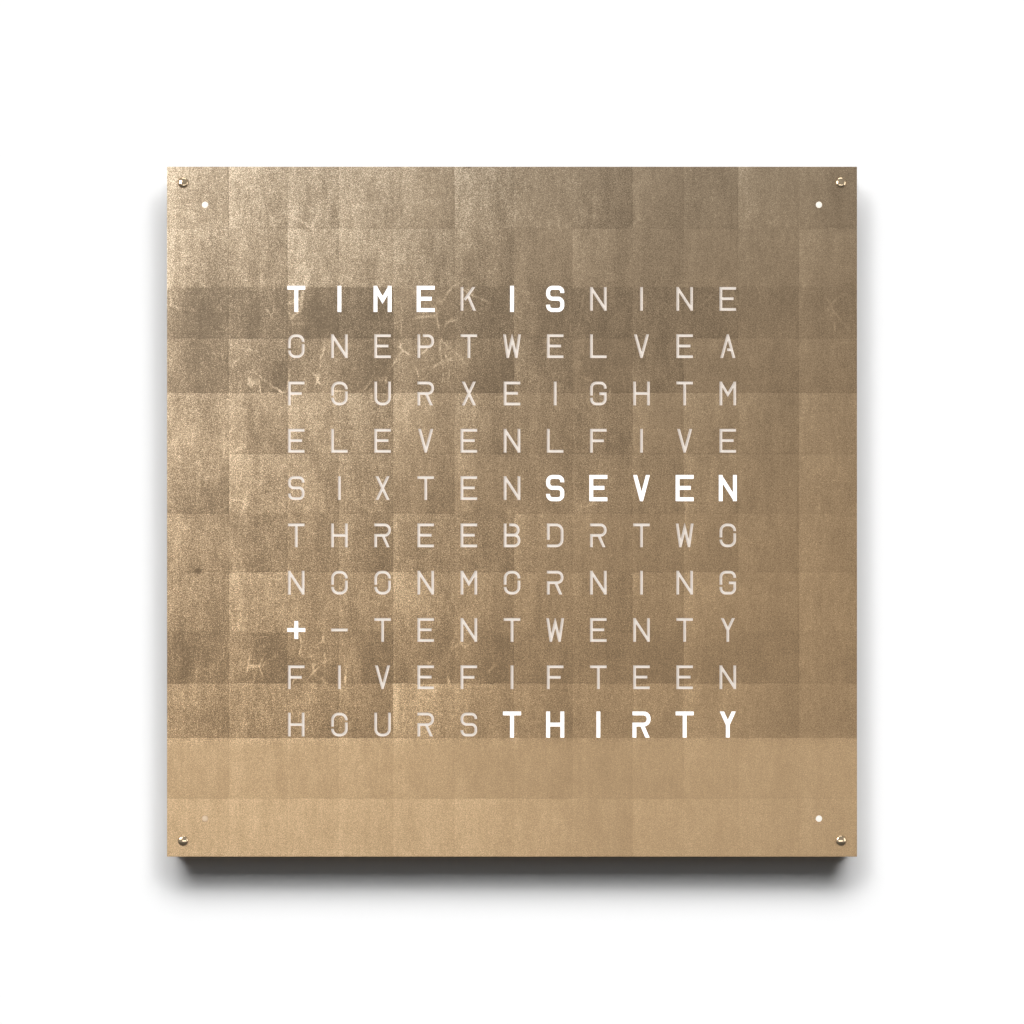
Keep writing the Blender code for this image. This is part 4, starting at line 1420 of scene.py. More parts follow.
@dataclass(frozen=True)
class LetterField:
    """The matrix of letters and which of them are lit."""

    column_pitch: float = 0.0563
    row_pitch: float = 0.0617
    rows: tuple[str, ...] = (
        "TIMEKISNINE",
        "ONEPTWELVEA",
        "FOURXEIGHTM",
        "ELEVENLFIVE",
        "SIXTENSEVEN",
        "THREEBDRTWO",
        "NOONMORNING",
        "+-TENTWENTY",
        "FIVEFIFTEEN",
        "HOURSTHIRTY",
    )
    lit_runs: tuple[tuple[int, int, int], ...] = ((0, 0, 4), (0, 5, 7), (4, 6, 11), (7, 0, 1), (9, 5, 11))

    def lit(self, row: int, column: int) -> Glow:
        """Returns whether the letter in a cell is lit."""
        found = any(row == line and start <= column < end for line, start, end in self.lit_runs)
        return Glow.LIT if found else Glow.UNLIT

    def cells(self) -> Iterator[tuple[str, Glow, float, float]]:
        """Yields each cell's letter, its glow, and X and Z of its middle."""
        for row, word in enumerate(self.rows):
            for column, character in enumerate(word):
                x = (column - (len(word) - 1) / 2) * self.column_pitch
                z = ((len(self.rows) - 1) / 2 - row) * self.row_pitch
                yield character, self.lit(row, column), x, z


@dataclass
class FrontPlate:
    """The leafed plate with its letters, pin holes and minute holes cut through."""

    letters: LetterField
    slim: LetterCut = LetterCut(height=0.0310, width=0.0216, stroke=0.0036)
    bold: LetterCut = LetterCut(height=0.0342, width=0.0236, stroke=0.0051)
    edge: float = 0.0004
    edge_steps: int = 3
    pin_place: float = 0.4291
    pin_hole_radius: float = 0.0033
    minute_place: float = 0.4004
    minute_hole_radius: float = 0.00425
    hole_steps: int = 48
    cutters: dict[tuple[str, Glow], bpy.types.Mesh] = field(default_factory=dict)

    def cutter(self, character: str, glow: Glow) -> bpy.types.Mesh:
        """Returns a letter's cutter, made on its first use."""
        key = (character, glow)
        if key not in self.cutters:
            size = self.bold if glow is Glow.LIT else self.slim
            self.cutters[key] = size.letter(character)
        return self.cutters[key]

    def blank(self, leaf: bpy.types.Material) -> bpy.types.Mesh:
        """Makes the plate before it is cut."""
        low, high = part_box("front_cover")
        work = Workpiece()
        work.block(low, high)
        work.soften(work.mesh.edges[:], self.edge, self.edge_steps)
        mesh = work.to_mesh("front_plate")
        mesh.materials.append(leaf)
        return mesh

    def cutting(self, middle_y: float, cut_edge: bpy.types.Material) -> bpy.types.Mesh:
        """Makes all that is cut through the plate, as one mesh.

        Args:
            middle_y: The middle of the plate's thickness.
            cut_edge: The material of the cut walls.

        Returns:
            The mesh of all cutters.
        """
        work = Workpiece()
        for character, glow, x, z in self.letters.cells():
            start = len(work.mesh.verts)
            work.mesh.from_mesh(self.cutter(character, glow))
            work.mesh.verts.ensure_lookup_table()
            bmesh.ops.translate(work.mesh, verts=work.mesh.verts[start:], vec=(x, middle_y, z))
        holes = ((self.pin_place, self.pin_hole_radius), (self.minute_place, self.minute_hole_radius))
        for place, radius in holes:
            for corner in Corner:
                x, z = corner.at(place)
                work.rod((x, middle_y, z), (radius, radius), self.slim.depth, TOWARDS_VIEWER, self.hole_steps)
        mesh = work.to_mesh("letter_cutters")
        mesh.materials.append(cut_edge)
        return mesh

    def build(self, leaf: bpy.types.Material, cut_edge: bpy.types.Material) -> bpy.types.Object:
        """Builds the plate.

        Args:
            leaf: The leaf material.
            cut_edge: The material of the cut walls.

        Returns:
            The piece.
        """
        low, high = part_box("front_cover")
        mesh = combined(self.blank(leaf), [self.cutting((low.y + high.y) / 2, cut_edge)], "DIFFERENCE")
        piece = place_piece("front_plate", mesh, (), FLAT_ANGLE)
        return settle(piece, "leafed_metal", replaces=["front_cover"])


@dataclass
class GlowSheet:
    """The opal sheet behind the letters, with one field for each letter cell."""

    letters: LetterField
    # The unlit cells glow faintly though their lamps are off: painted light that brightens the opal at the
    # bottom of the letter slots.
    unlit: GlowFinish = GlowFinish(
        "opal_sheet", (0.62, 0.57, 0.52), (0.79, 0.71, 0.64), (0.75, 0.67, 0.60), 0.53
    )
    lit: GlowFinish = GlowFinish(
        "opal_sheet_lit", (0.80, 0.80, 0.80), (1.0, 1.0, 1.0), (0.98, 0.98, 0.98), 0.95
    )

    def fields(self, bm: bmesh.types.BMesh, half_x: float, half_z: float) -> None:
        """Lays one face for each letter cell, with the lit finish where its letter is lit.

        Args:
            bm: The mesh.
            half_x: Half the width of all cells.
            half_z: Half their height.
        """
        columns, rows = len(self.letters.rows[0]), len(self.letters.rows)
        matrix = TOWARDS_VIEWER @ Matrix.Diagonal((half_x, half_z, 1, 1))
        bmesh.ops.create_grid(bm, x_segments=columns, y_segments=rows, size=1, matrix=matrix)
        lit_places = [(x, z) for _, glow, x, z in self.letters.cells() if glow is Glow.LIT]
        for face in bm.faces:
            middle = face.calc_center_median()
            near = [1 for x, z in lit_places if abs(middle.x - x) < MERGE and abs(middle.z - z) < MERGE]
            face.material_index = 1 if near else 0

    def widen(self, bm: bmesh.types.BMesh, half_x: float, half_z: float, edge: Vector) -> None:
        """Adds the unlit rim around the cells, out to the sheet's edge.

        Args:
            bm: The mesh.
            half_x: Half the width of all cells.
            half_z: Half their height.
            edge: The sheet's highest corner.
        """
        rim = [side for side in bm.edges if side.is_boundary]
        made = bmesh.ops.extrude_edge_only(bm, edges=rim)["geom"]
        for vertex in vertices_of(made):
            if abs(vertex.co.x) > half_x - MERGE:
                vertex.co.x = math.copysign(edge.x, vertex.co.x)
            if abs(vertex.co.z) > half_z - MERGE:
                vertex.co.z = math.copysign(edge.z, vertex.co.z)
        for item in made:
            if isinstance(item, bmesh.types.BMFace):
                item.material_index = 0

    def build(self, effects: SharedEffects) -> bpy.types.Object:
        """Builds the sheet.

        Args:
            effects: The shared node groups.

        Returns:
            The piece.
        """
        low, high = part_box("diffuser_sheet")
        half_x = len(self.letters.rows[0]) * self.letters.column_pitch / 2
        half_z = len(self.letters.rows) * self.letters.row_pitch / 2
        work = Workpiece()
        bm = work.mesh
        self.fields(bm, half_x, half_z)
        self.widen(bm, half_x, half_z, high)
        made = bmesh.ops.extrude_face_region(bm, geom=bm.faces[:])["geom"]
        bmesh.ops.translate(bm, verts=vertices_of(made), vec=(0, high.y - low.y, 0))
        bmesh.ops.recalc_face_normals(bm, faces=bm.faces[:])
        work.move(Matrix.Translation((0, low.y, 0)))
        finishes = [self.unlit.material(effects), self.lit.material(effects)]
        piece = place_piece("glow_sheet", work.to_mesh("glow_sheet"), finishes)
        return settle(piece, "opal", replaces=["diffuser_sheet"])


@dataclass
class CoverPins:
    """The four polished domed pins at the plate's corners."""

    place: float = 0.4291
    head_radius: float = 0.0070
    shank_radius: float = 0.0030
    rim: float = 0.0003
    rise: float = 0.0029
    rim_share: float = 0.3
    groove_share: float = 0.84
    groove_ends: Point = (0.78, 0.87)
    tip_start: float = 0.94
    tip_share: float = 0.72
    dome_steps: int = 14
    steps: int = 64

    def profile(self, length: float) -> list[Point]:
        """Returns the pin's outline from the top of its dome to its tip.

        Args:
            length: The shank's length below the head.

        Returns:
            Radius and height of each point.
        """
        points = []
        for step in range(self.dome_steps + 1):
            angle = math.pi / 2 * step / self.dome_steps
            points.append((self.head_radius * math.sin(angle), self.rim + self.rise * math.cos(angle)))
        eased = self.rim * self.rim_share
        groove = self.shank_radius * self.groove_share
        start, end = (-length * share for share in self.groove_ends)
        return [
            *points,
            (self.head_radius, eased),
            (self.head_radius - eased, 0),
            (self.shank_radius, 0),
            (self.shank_radius, start),
            (groove, start),
            (groove, end),
            (self.shank_radius, end),
            (self.shank_radius, -length * self.tip_start),
            (self.shank_radius * self.tip_share, -length),
            (0, -length),
        ]

    def build(self, steel: bpy.types.Material) -> None:
        """Builds the four pins in one finish."""
        for corner in Corner:
            node = f"cover_pin_{corner.word}"
            low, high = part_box(node)
            seat = low.y + self.rim + self.rise
            x, z = corner.at(self.place)
            work = Workpiece()
            work.turn(self.profile(high.y - seat), self.steps)
            work.move(Matrix.Translation((x, seat, z)) @ TOWARDS_VIEWER)
            piece = place_piece(f"domed_pin_{corner.word}", work.to_mesh(node), [steel])
            settle(piece, "steel", replaces=[node])


@dataclass
class MinuteLenses:
    """The four small round lights, three of them lit."""

    place: float = 0.4004
    nose_radius: float = 0.00395
    flange_radius: float = 0.0077
    flange: float = 0.0015
    rounding: float = 0.0005
    steps: int = 48
    dark: Corner = Corner.BOTTOM_LEFT
    lit: GlowFinish = GlowFinish("lens_lit", (0.55, 0.52, 0.46), (1.0, 0.96, 0.88), (0.97, 0.92, 0.84), 0.62)
    # The dark lens glows faintly though its lamp is off: painted light.
    unlit: GlowFinish = GlowFinish("lens", (0.66, 0.51, 0.35), (0.72, 0.53, 0.35), (0.66, 0.48, 0.32), 0.34)

    def profile(self, rise: float) -> list[Point]:
        """Returns a lens's outline, whose nose stands this far over its flange."""
        edge = self.rounding
        return [
            (0, rise),
            (self.nose_radius * 0.5, rise - edge * 0.2),
            (self.nose_radius - edge, rise - edge * 0.5),
            (self.nose_radius - edge * 0.25, rise - edge * 0.9),
            (self.nose_radius, rise - edge * 1.6),
            (self.nose_radius, 0),
            (self.flange_radius, 0),
            (self.flange_radius, -self.flange),
            (0, -self.flange),
        ]

    def build(self, effects: SharedEffects) -> None:
        """Builds the four lenses with the shared effects."""
        lit = self.lit.material(effects)
        unlit = self.unlit.material(effects)
        for corner in Corner:
            node = f"minute_lens_{corner.word}"
            low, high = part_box(node)
            seat = high.y - self.flange
            x, z = corner.at(self.place)
            work = Workpiece()
            work.turn(self.profile(seat - low.y), self.steps)
            work.move(Matrix.Translation((x, seat, z)) @ TOWARDS_VIEWER)
            finish = unlit if corner is self.dark else lit
            piece = place_piece(f"minute_light_{corner.word}", work.to_mesh(node), [finish])
            settle(piece, "opal", replaces=[node])


@dataclass
class ButtonCaps:
    """The four push buttons in the side of the body."""

    radius: float = 0.0030
    flange_radius: float = 0.0042
    flange: float = 0.0010
    edge: float = 0.0006
    dish: float = 0.0004
    steps: int = 48
    count: int = 4

    def profile(self, length: float) -> list[Point]:
        """Returns a cap's outline, from its dished tip to its flange, for a cap of this length."""
        inner = self.radius - self.edge
        return [
            (0, length - self.dish),
            (inner * 0.55, length - self.dish * 0.8),
            (inner * 0.85, length - self.dish * 0.3),
            (inner, length),
            (self.radius - self.edge * 0.3, length - self.edge * 0.3),
            (self.radius, length - self.edge),
            (self.radius, self.flange),
            (self.flange_radius - self.edge * 0.3, self.flange),
            (self.flange_radius, self.flange * 0.7),
            (self.flange_radius, 0),
            (0, 0),
        ]

    def build(self, plastic: bpy.types.Material) -> None:
        """Builds the four caps in one finish."""
        for index in range(1, self.count + 1):
            node = f"button_cap_{index}"
            low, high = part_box(node)
            work = Workpiece()
            work.turn(self.profile(high.x - low.x), self.steps)
            middle = (low.x, (low.y + high.y) / 2, (low.z + high.z) / 2)
            work.move(Matrix.Translation(middle) @ TOWARDS_RIGHT)
            piece = place_piece(f"push_button_{index}", work.to_mesh(node), [plastic])
            settle(piece, "black_plastic", f"button_{index}", [node])


@dataclass
class CrossScrew:
    """A countersunk screw with a cross recess, whose head faces the wall."""

    head_radius: float = 0.0030
    head_depth: float = 0.0016
    shank_radius: float = 0.0014
    length: float = 0.0060
    recess_width: float = 0.0007
    recess_reach: float = 0.0019
    recess_depth: float = 0.0008
    rim_share: float = 0.06
    steps: int = 32

    def mesh(self, finish: bpy.types.Material) -> bpy.types.Mesh:
        """Makes the screw with its head's face at Z = 0.

        Args:
            finish: Its material.

        Returns:
            The screw's mesh.
        """
        work = Workpiece()
        rim = self.head_radius * self.rim_share
        profile = [
            (0, 0),
            (self.head_radius - rim, 0),
            (self.head_radius, -rim),
            (self.shank_radius, -self.head_depth),
            (self.shank_radius, -self.length + self.shank_radius),
            (0, -self.length),
        ]
        work.turn(profile, self.steps)
        body = work.to_mesh("screw")
        body.materials.append(finish)
        arms = []
        reach, half = self.recess_reach, self.recess_width / 2
        for reach_x, reach_y in ((reach, half), (half, reach)):
            arm = Workpiece()
            arm.block((-reach_x, -reach_y, -self.recess_depth), (reach_x, reach_y, self.recess_depth))
            mesh = arm.to_mesh("recess")
            mesh.materials.append(finish)
            arms.append(mesh)
        return combined(body, arms, "DIFFERENCE")

    def place(
        self, name: str, template: bpy.types.Mesh, at: Sequence[float], turn: float
    ) -> bpy.types.Object:
        """Places one screw.

        Args:
            name: The piece's name.
            template: The screw's mesh.
            at: The middle of its head's face.
            turn: How far its cross is turned.

        Returns:
            The piece.
        """
        work = Workpiece(template)
        work.move(Matrix.Translation(at) @ TOWARDS_WALL @ Matrix.Rotation(turn, 4, "Z"))
        piece = place_piece(name, work.to_mesh(name), [template.materials[0]])
        return settle(piece, "steel")


@dataclass
class BackPlate:
    """A flat plate let into the back, with rounded corners, eased edges and countersunk screws."""

    node: str
    name: str
    slot: str
    corner_radius: float
    edge: float
    screw_insets: tuple[Point, ...]
    screw_sink: float = 0.0001
    screw: CrossScrew = field(default_factory=CrossScrew)
    keyhole: tuple[float, float, float] | None = None
    steps: int = 40
    corner_steps: int = 8
    edge_steps: int = 2
    head_room: float = 1.08
    shank_room: float = 1.2
    first_turn: float = 0.4
    next_turn: float = 1.3

    def countersinks(self, low: Vector, high: Vector) -> bpy.types.Mesh:
        """Makes what is cut for the screws and the keyhole.

        Args:
            low: The plate's lowest corner.
            high: The plate's highest corner.

        Returns:
            The cutters' mesh.
        """
        work = Workpiece()
        reach = self.screw.head_radius * self.head_room
        for x, z in self.screw_places(low, high):
            depth = self.screw.head_depth
            work.rod(
                (x, high.y - depth / 2 + self.screw_sink, z),
                (self.screw.shank_radius * self.shank_room, reach),
                depth + 2 * self.screw_sink,
                TOWARDS_WALL,
                self.steps,
            )
        return work.to_mesh("countersinks")

    def keyhole_cutters(self, low: Vector, high: Vector) -> list[bpy.types.Mesh]:
        """Makes the keyhole's round entry, its slot and the slot's round end.

        Args:
            low: The plate's lowest corner.
            high: The plate's highest corner.

        Returns:
            The cutters' meshes.
        """
        entry_radius, slot_radius, travel = self.keyhole
        x, z = (low.x + high.x) / 2, (low.z + high.z) / 2
        y, thick = (low.y + high.y) / 2, (high.y - low.y) * 2
        meshes = []
        for radius, level in ((entry_radius, z - travel / 2), (slot_radius, z + travel / 2)):
            hole = Workpiece()
            hole.rod((x, y, level), (radius, radius), thick, TOWARDS_WALL, self.steps)
            meshes.append(hole.to_mesh("hole"))
        slot = Workpiece()
        low_corner = (x - slot_radius, y - thick / 2, z - travel / 2)
        slot.block(low_corner, (x + slot_radius, y + thick / 2, z + travel / 2))
        return [*meshes, slot.to_mesh("slot")]

    def screw_places(self, low: Vector, high: Vector) -> list[Point]:
        """Returns X and Z of each screw. An inset counts from the low or, if negative, the high side."""
        places = []
        for inset_x, inset_z in self.screw_insets:
            x = low.x + inset_x if inset_x > 0 else high.x + inset_x
            z = low.z + inset_z if inset_z > 0 else high.z + inset_z
            places.append((x, z))
        return places

    def build(self, finish: bpy.types.Material, steel: bpy.types.Material) -> bpy.types.Object:
        """Builds the plate and its screws.

        Args:
            finish: The plate's material.
            steel: The screws' material.

        Returns:
            The plate.
        """
        low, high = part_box(self.node)
        work = Workpiece()
        work.block(low, high)
        work.soften(work.edges_along(1), self.corner_radius, self.corner_steps)
        rims = [edge for edge in work.mesh.edges if abs(edge.verts[0].co.y - edge.verts[1].co.y) < MERGE]
        work.soften(rims, self.edge, self.edge_steps)
        blank = work.to_mesh(self.name)
        blank.materials.append(finish)
        cutters = [self.countersinks(low, high)]
        if self.keyhole:
            cutters += self.keyhole_cutters(low, high)
        for mesh in cutters:
            mesh.materials.append(finish)
        piece = place_piece(self.name, combined(blank, cutters, "DIFFERENCE"), (), FLAT_ANGLE)
        template = self.screw.mesh(steel)
        for index, (x, z) in enumerate(self.screw_places(low, high)):
            at = (x, high.y - self.screw_sink, z)
            turn = self.first_turn + self.next_turn * index
            self.screw.place(f"{self.name}_screw_{index + 1}", template, at, turn)
        return settle(piece, self.slot, replaces=[self.node])


Finish = MetalFinish | MouldedFinish | BoardFinish | StripedFinish


@dataclass
class CarriedParts:
    """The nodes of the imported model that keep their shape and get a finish."""

    effects: SharedEffects
    finishes: dict[str, Finish]
    made: dict[str, bpy.types.Material]
    lead_prefix: str = "minute_lead_"

    def finish_of(self, node: str, slot: str) -> bpy.types.Material:
        """Returns a node's material, made on its first use.

        Args:
            node: The node's name.
            slot: The material slot that the record gives it.

        Returns:
            The material.
        """
        kind = "round_lead" if node.startswith(self.lead_prefix) else slot
        finish = self.finishes.get(kind)
        if isinstance(finish, BoardFinish):
            face = finish.face(*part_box(node))
            key = f"{kind} {face:.5f}"
            if key not in self.made:
                self.made[key] = finish.material(self.effects, face)
            return self.made[key]
        if kind not in self.made:
            self.made[kind] = finish.material(self.effects)
        return self.made[kind]

    def dress(self) -> None:
        """Gives every node its finish by the material slot that the record names."""
        for part in frame["record"]["subparts"]:
            node = frame["nodes"][part["node"]]
            node.data.materials.clear()
            node.data.materials.append(self.finish_of(part["node"], part["material_slot"]))


FINISHES: dict[str, Finish] = {
    "steel": MetalFinish("polished_steel", (0.70, 0.55, 0.37), (0.52, 0.39, 0.25), 0.12, 500.0, 90.0),
    "cut_edge": MetalFinish("cut_edge", (0.60, 0.50, 0.38), (0.46, 0.36, 0.26), 0.38, 700.0, 50.0),
    "brass": MetalFinish("turned_brass", (0.66, 0.49, 0.22), (0.50, 0.36, 0.16), 0.30, 800.0, 80.0),
    "zinc": MetalFinish("zinc_sheet", (0.34, 0.35, 0.36), (0.24, 0.25, 0.27), 0.40, 420.0, 140.0, 0.00002),
    "ferrite": MouldedFinish("ferrite_rod", (0.050, 0.050, 0.056), (0.085, 0.085, 0.092), 0.55, 1400.0, 60.0),
    "lacquer": MouldedFinish(
        "satin_lacquer", (0.050, 0.041, 0.034), (0.070, 0.058, 0.048), 0.34, 650.0, 9.0, 0.00003, 0.25
    ),
    "white_plastic": MouldedFinish(
        "white_moulding", (0.80, 0.80, 0.78), (0.72, 0.72, 0.69), 0.5, 1000.0, 20.0
    ),
    "black_plastic": MouldedFinish(
        "black_moulding", (0.020, 0.020, 0.021), (0.034, 0.034, 0.035), 0.46, 1100.0, 25.0
    ),
    "white_board": BoardFinish(
        "lamp_strip_board",
        resist=(0.78, 0.79, 0.77),
        track=(0.66, 0.64, 0.56),
        part_colour=(0.86, 0.74, 0.36),
        part_second=(0.90, 0.84, 0.60),
        outwards=-1,
        track_scale=95.0,
    ),
    "green_board": BoardFinish(
        "circuit_board",
        resist=(0.020, 0.150, 0.065),
        track=(0.045, 0.235, 0.100),
        part_colour=(0.026, 0.026, 0.028),
        part_second=(0.05, 0.05, 0.053),
        outwards=1,
    ),
    "grey_cable": StripedFinish(
        "cable_sheath", (0.36, 0.36, 0.37), (0.22, 0.22, 0.23), 0.00127, "Z", 0.0, 0.5
    ),
    "round_lead": MouldedFinish("lead_sheath", (0.34, 0.34, 0.35), (0.26, 0.26, 0.27), 0.5, 1500.0, 60.0),
    "copper_winding": StripedFinish(
        "coil_wire", (0.58, 0.25, 0.10), (0.20, 0.08, 0.03), 0.0004, "X", 0.6, 0.32
    ),
}


# The studio

@dataclass(frozen=True)
class Softbox:
    """A flat soft lamp."""

    name: str
    place: tuple[float, float, float]
    aim: tuple[float, float, float]
    size: Point
    power: float

    def build(self, receivers: bpy.types.Collection) -> bpy.types.Object:
        """Places the lamp.

        Args:
            receivers: What it lights.

        Returns:
            The lamp.
        """
        data = bpy.data.lights.new(self.name, "AREA")
        data.shape = "RECTANGLE"
        data.size, data.size_y = self.size
        data.energy = self.power
        return hang_lamp(data, self.place, self.aim, receivers)


@dataclass(frozen=True)
class WindowPair:
    """Two far round windows, left and right, whose light falls evenly over the whole wall and floor."""

    prefix: str
    aside: float
    height: float
    spread: float
    strength: float

    def build(self, receivers: bpy.types.Collection) -> None:
        """Places the two lights, which shine on the receivers alone."""
        for side, word in ((-1, "left"), (1, "right")):
            data = bpy.data.lights.new(f"{self.prefix}{word}_window", "SUN")
            data.angle = self.spread
            data.energy = self.strength
            hang_lamp(data, (side * self.aside, -1.0, self.height), (0, 0, 0), receivers)


def hang_lamp(
    data: bpy.types.Light, place: Sequence[float], aim: Sequence[float], receivers: bpy.types.Collection
) -> bpy.types.Object:
    """Hangs a lamp in the studio.

    Args:
        data: The lamp's data.
        place: Where it hangs.
        aim: The point that it faces.
        receivers: What it lights.

    Returns:
        The lamp.
    """
    lamp = bpy.data.objects.new(data.name, data)
    bpy.context.scene.collection.objects.link(lamp)
    run = Vector(aim) - Vector(place)
    lamp.matrix_world = Matrix.Translation(place) @ run.to_track_quat("-Z", "Y").to_matrix().to_4x4()
    lamp.light_linking.receiver_collection = receivers
    lamp.visible_camera = False
    return lamp


@dataclass(frozen=True)
class Studio:
    """The white wall, the pale floor, the lamps and the camera."""

    wall_y: float = 0.0006
    wall_half: float = 1.3
    floor_half: float = 4.0
    floor_z: float = -1.0
    camera_y: float = -4.480
    camera_z: float = -0.0004
    lens: float = 120.0
    sensor: float = 36.0
    room_light: float = 0.03
    room_mirrored: float = 0.45
    floor_mirrored: float = 0.14
    floor_step: Point = (-0.55, 0.0)
    wall_step: Point = (-0.25, 0.15)
    windows: tuple[WindowPair, ...] = (
        WindowPair("high_", 0.35, 2.1, math.radians(18), 1.82),
        WindowPair("", 0.95, 1.8, math.radians(18), 1.07),
        WindowPair("low_", 0.95, 1.2, math.radians(18), 0.87),
        WindowPair("front_", 0.6, 0.45, math.radians(30), 0.085),
    )
    softboxes: tuple[Softbox, ...] = (
        Softbox("left_softbox", (-1.75, -2.2, 0.85), (0, 0, 0), (1.5, 1.5), 57.0),
        Softbox("right_softbox", (2.9, -1.9, 0.1), (0, 0, 0), (1.6, 2.0), 22.0),
        Softbox("low_softbox", (0.35, -3.2, -0.72), (0, 0, -0.40), (2.6, 0.5), 11.0),
        Softbox("high_softbox", (0.0, -0.7, 3.0), (0, 0, 0), (2.4, 1.6), 31.0),
        Softbox("rear_left_softbox", (-1.8, 2.8, 1.2), (0, 0, 0), (1.6, 1.6), 46.0),
        Softbox("rear_right_softbox", (2.2, 2.6, 0.2), (0, 0, 0), (1.6, 1.6), 36.0),
    )

    def stage_plane(
        self, name: str, half: float, matrix: Matrix, material: bpy.types.Material
    ) -> bpy.types.Object:
        """Makes one flat piece of the stage.

        Args:
            name: Its name.
            half: Half its side.
            matrix: Its place.
            material: Its material.

        Returns:
            The plane.
        """
        work = Workpiece()
        bmesh.ops.create_grid(work.mesh, x_segments=1, y_segments=1, size=half, matrix=matrix)
        plane = place_piece(name, work.to_mesh(name), [material])
        plane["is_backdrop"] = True
        return plane

    def wall_material(self) -> bpy.types.Material:
        """Makes the wall: white paint in front, where it takes the clock's shadow, and clear from behind."""
        material, sketch = new_material("wall_paint")
        tint = sketch.noise(sketch.place(), 3.0, 2)
        paint = sketch.add("BsdfDiffuse", {"Color": sketch.mix(tint, (0.86, 0.86, 0.86), (0.88, 0.88, 0.88))})
        clear = sketch.add("BsdfTransparent")
        behind = sketch.add("NewGeometry").outputs["Backfacing"]
        cover = sketch.add("MixShader", {0: behind, 1: paint.outputs[0], 2: clear.outputs[0]})
        sketch.add("OutputMaterial", {"Surface": cover.outputs[0]})
        return material

    def floor_material(self) -> bpy.types.Material:
        """Makes the pale matt floor."""
        material, sketch = new_material("floor_paint")
        tint = sketch.noise(sketch.place(), 5.0, 3)
        paint = sketch.mix(tint, (0.47, 0.47, 0.47), (0.50, 0.50, 0.50))
        close_material(sketch, {"Base Color": paint, "Roughness": 0.9})
        return material

    def build_stage(self) -> list[bpy.types.Object]:
        """Builds the wall and the floor, and returns both."""
        wall_place = Matrix.Translation((0, self.wall_y, 0)) @ TOWARDS_VIEWER
        wall = self.stage_plane("wall", self.wall_half, wall_place, self.wall_material())
        wall.visible_diffuse = False
        wall.visible_glossy = False
        wall.visible_transmission = False
        wall.visible_shadow = False
        floor_place = Matrix.Translation((0, 0, self.floor_z))
        floor = self.stage_plane("floor", self.floor_half, floor_place, self.floor_material())
        floor.visible_diffuse = False
        floor.visible_glossy = False
        return [wall, floor]

    def build_world(self) -> None:
        """Makes a white world. Metal mirrors it white behind the clock, grey before it and dark below."""
        world = bpy.data.worlds.new("studio")
        world.use_nodes = True
        sketch = Sketch(world.node_tree)
        path = sketch.add("LightPath").outputs
        _, ahead, upward = sketch.split(sketch.add("TexCoord").outputs["Generated"])
        over_floor = self.room_mirrored - self.floor_mirrored
        room = sketch.line(sketch.step(upward, *self.floor_step), self.floor_mirrored, over_floor)
        mirrored = sketch.maths("MAXIMUM", room, sketch.step(ahead, *self.wall_step))
        passed = sketch.maths("MAXIMUM", path["Is Glossy Ray"], path["Is Transmission Ray"])
        strength = sketch.maths("MAXIMUM", path["Is Camera Ray"], sketch.times(passed, mirrored))
        strength = sketch.maths("MAXIMUM", strength, self.room_light)
        sky = sketch.add("Background", {"Color": (1, 1, 1), "Strength": strength})
        sketch.add("OutputWorld", {"Surface": sky.outputs[0]})
        bpy.context.scene.world = world

    def build_lamps(self, stage: Sequence[bpy.types.Object]) -> None:
        """Builds the lamps: the windows light wall and floor alone, and the softboxes all but these."""
        only_stage = bpy.data.collections.new("only_stage")
        not_stage = bpy.data.collections.new("not_stage")
        for plane in stage:
            only_stage.objects.link(plane)
            not_stage.objects.link(plane)
        for member in not_stage.collection_objects:
            member.light_linking.link_state = "EXCLUDE"
        for window in self.windows:
            window.build(only_stage)
        for softbox in self.softboxes:
            softbox.build(not_stage)

    def build_camera(self) -> None:
        """Places the camera straight in front of the clock."""
        data = bpy.data.cameras.new("camera")
        data.sensor_width = self.sensor
        data.lens = self.lens
        camera = bpy.data.objects.new("camera", data)
        bpy.context.scene.collection.objects.link(camera)
        camera.matrix_world = Matrix.Translation((0, self.camera_y, self.camera_z)) @ TOWARDS_VIEWER
        bpy.context.scene.camera = camera

    def build(self) -> None:
        """Builds the stage, the light and the camera."""
        self.build_camera()
        self.build_world()
        self.build_lamps(self.build_stage())
        bpy.context.scene.view_settings.view_transform = "Standard"
        LOG.info("studio ready")


def write_sizes() -> None:
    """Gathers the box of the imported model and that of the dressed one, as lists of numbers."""
    boxes = {"cad": CAD_BOX, "visual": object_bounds()}
    listed = {name: [list(map(float, corner)) for corner in box] for name, box in boxes.items()}


COVER_SCREWS = ((0.006, 0.006), (-0.006, 0.006), (0.006, -0.006), (-0.006, -0.006))
HANGER_SCREWS = ((0.008, 0.015), (-0.008, 0.015))
KEYHOLE = (0.0050, 0.0025, 0.013)
PLATE_CORNER = 0.004


def back_plates() -> Iterator[BackPlate]:
    """Yields the service cover and the two hanger plates."""
    yield BackPlate("service_cover", "bay_cover", "black_plastic", PLATE_CORNER, 0.0004, COVER_SCREWS)
    for side in ("left", "right"):
        names = (f"hanger_plate_{side}", f"keyhole_plate_{side}", "zinc")
        yield BackPlate(*names, PLATE_CORNER, 0.0003, HANGER_SCREWS, keyhole=KEYHOLE)


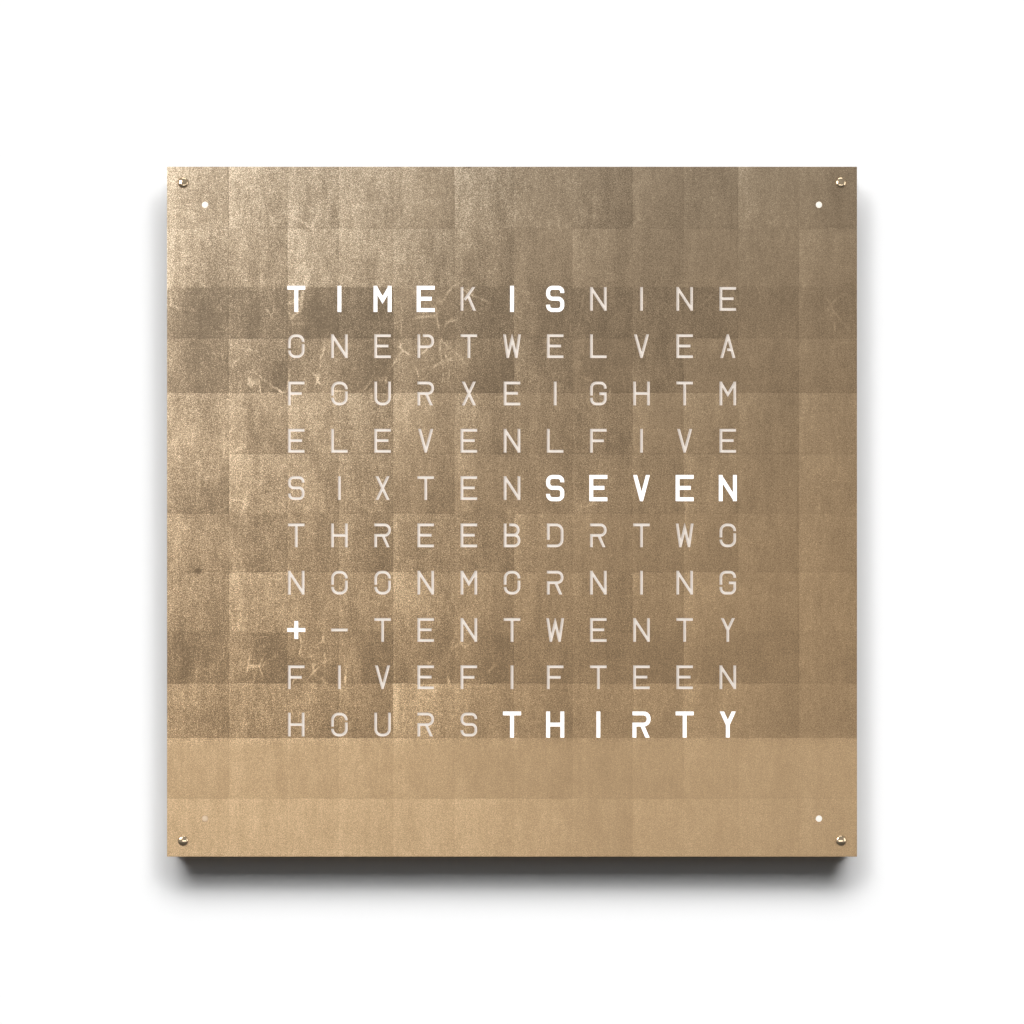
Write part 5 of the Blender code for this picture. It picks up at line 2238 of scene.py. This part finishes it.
def main() -> None:
    """Builds the studio and dresses the clock."""
    logging.basicConfig(level=logging.INFO, format="%(message)s")
    Studio().build()
    effects = SharedEffects()
    letters = LetterField()
    leaf = LeafFinish(side=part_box("front_cover")[1].x * 2).material()
    steel = FINISHES["steel"].material(effects)
    black = FINISHES["black_plastic"].material(effects)
    zinc = FINISHES["zinc"].material(effects)
    sheet = GlowSheet(letters)
    opal = sheet.build(effects).data.materials[0]
    shown = {"leafed_metal": leaf, "steel": steel, "black_plastic": black, "zinc": zinc, "opal": opal}
    CarriedParts(effects, FINISHES, shown).dress()
    FrontPlate(letters).build(leaf, FINISHES["cut_edge"].material(effects))
    CoverPins().build(steel)
    MinuteLenses().build(effects)
    ButtonCaps().build(black)
    for plate in back_plates():
        plate.build(shown[plate.slot], steel)
    write_sizes()


if __name__ == "__main__":
    main()
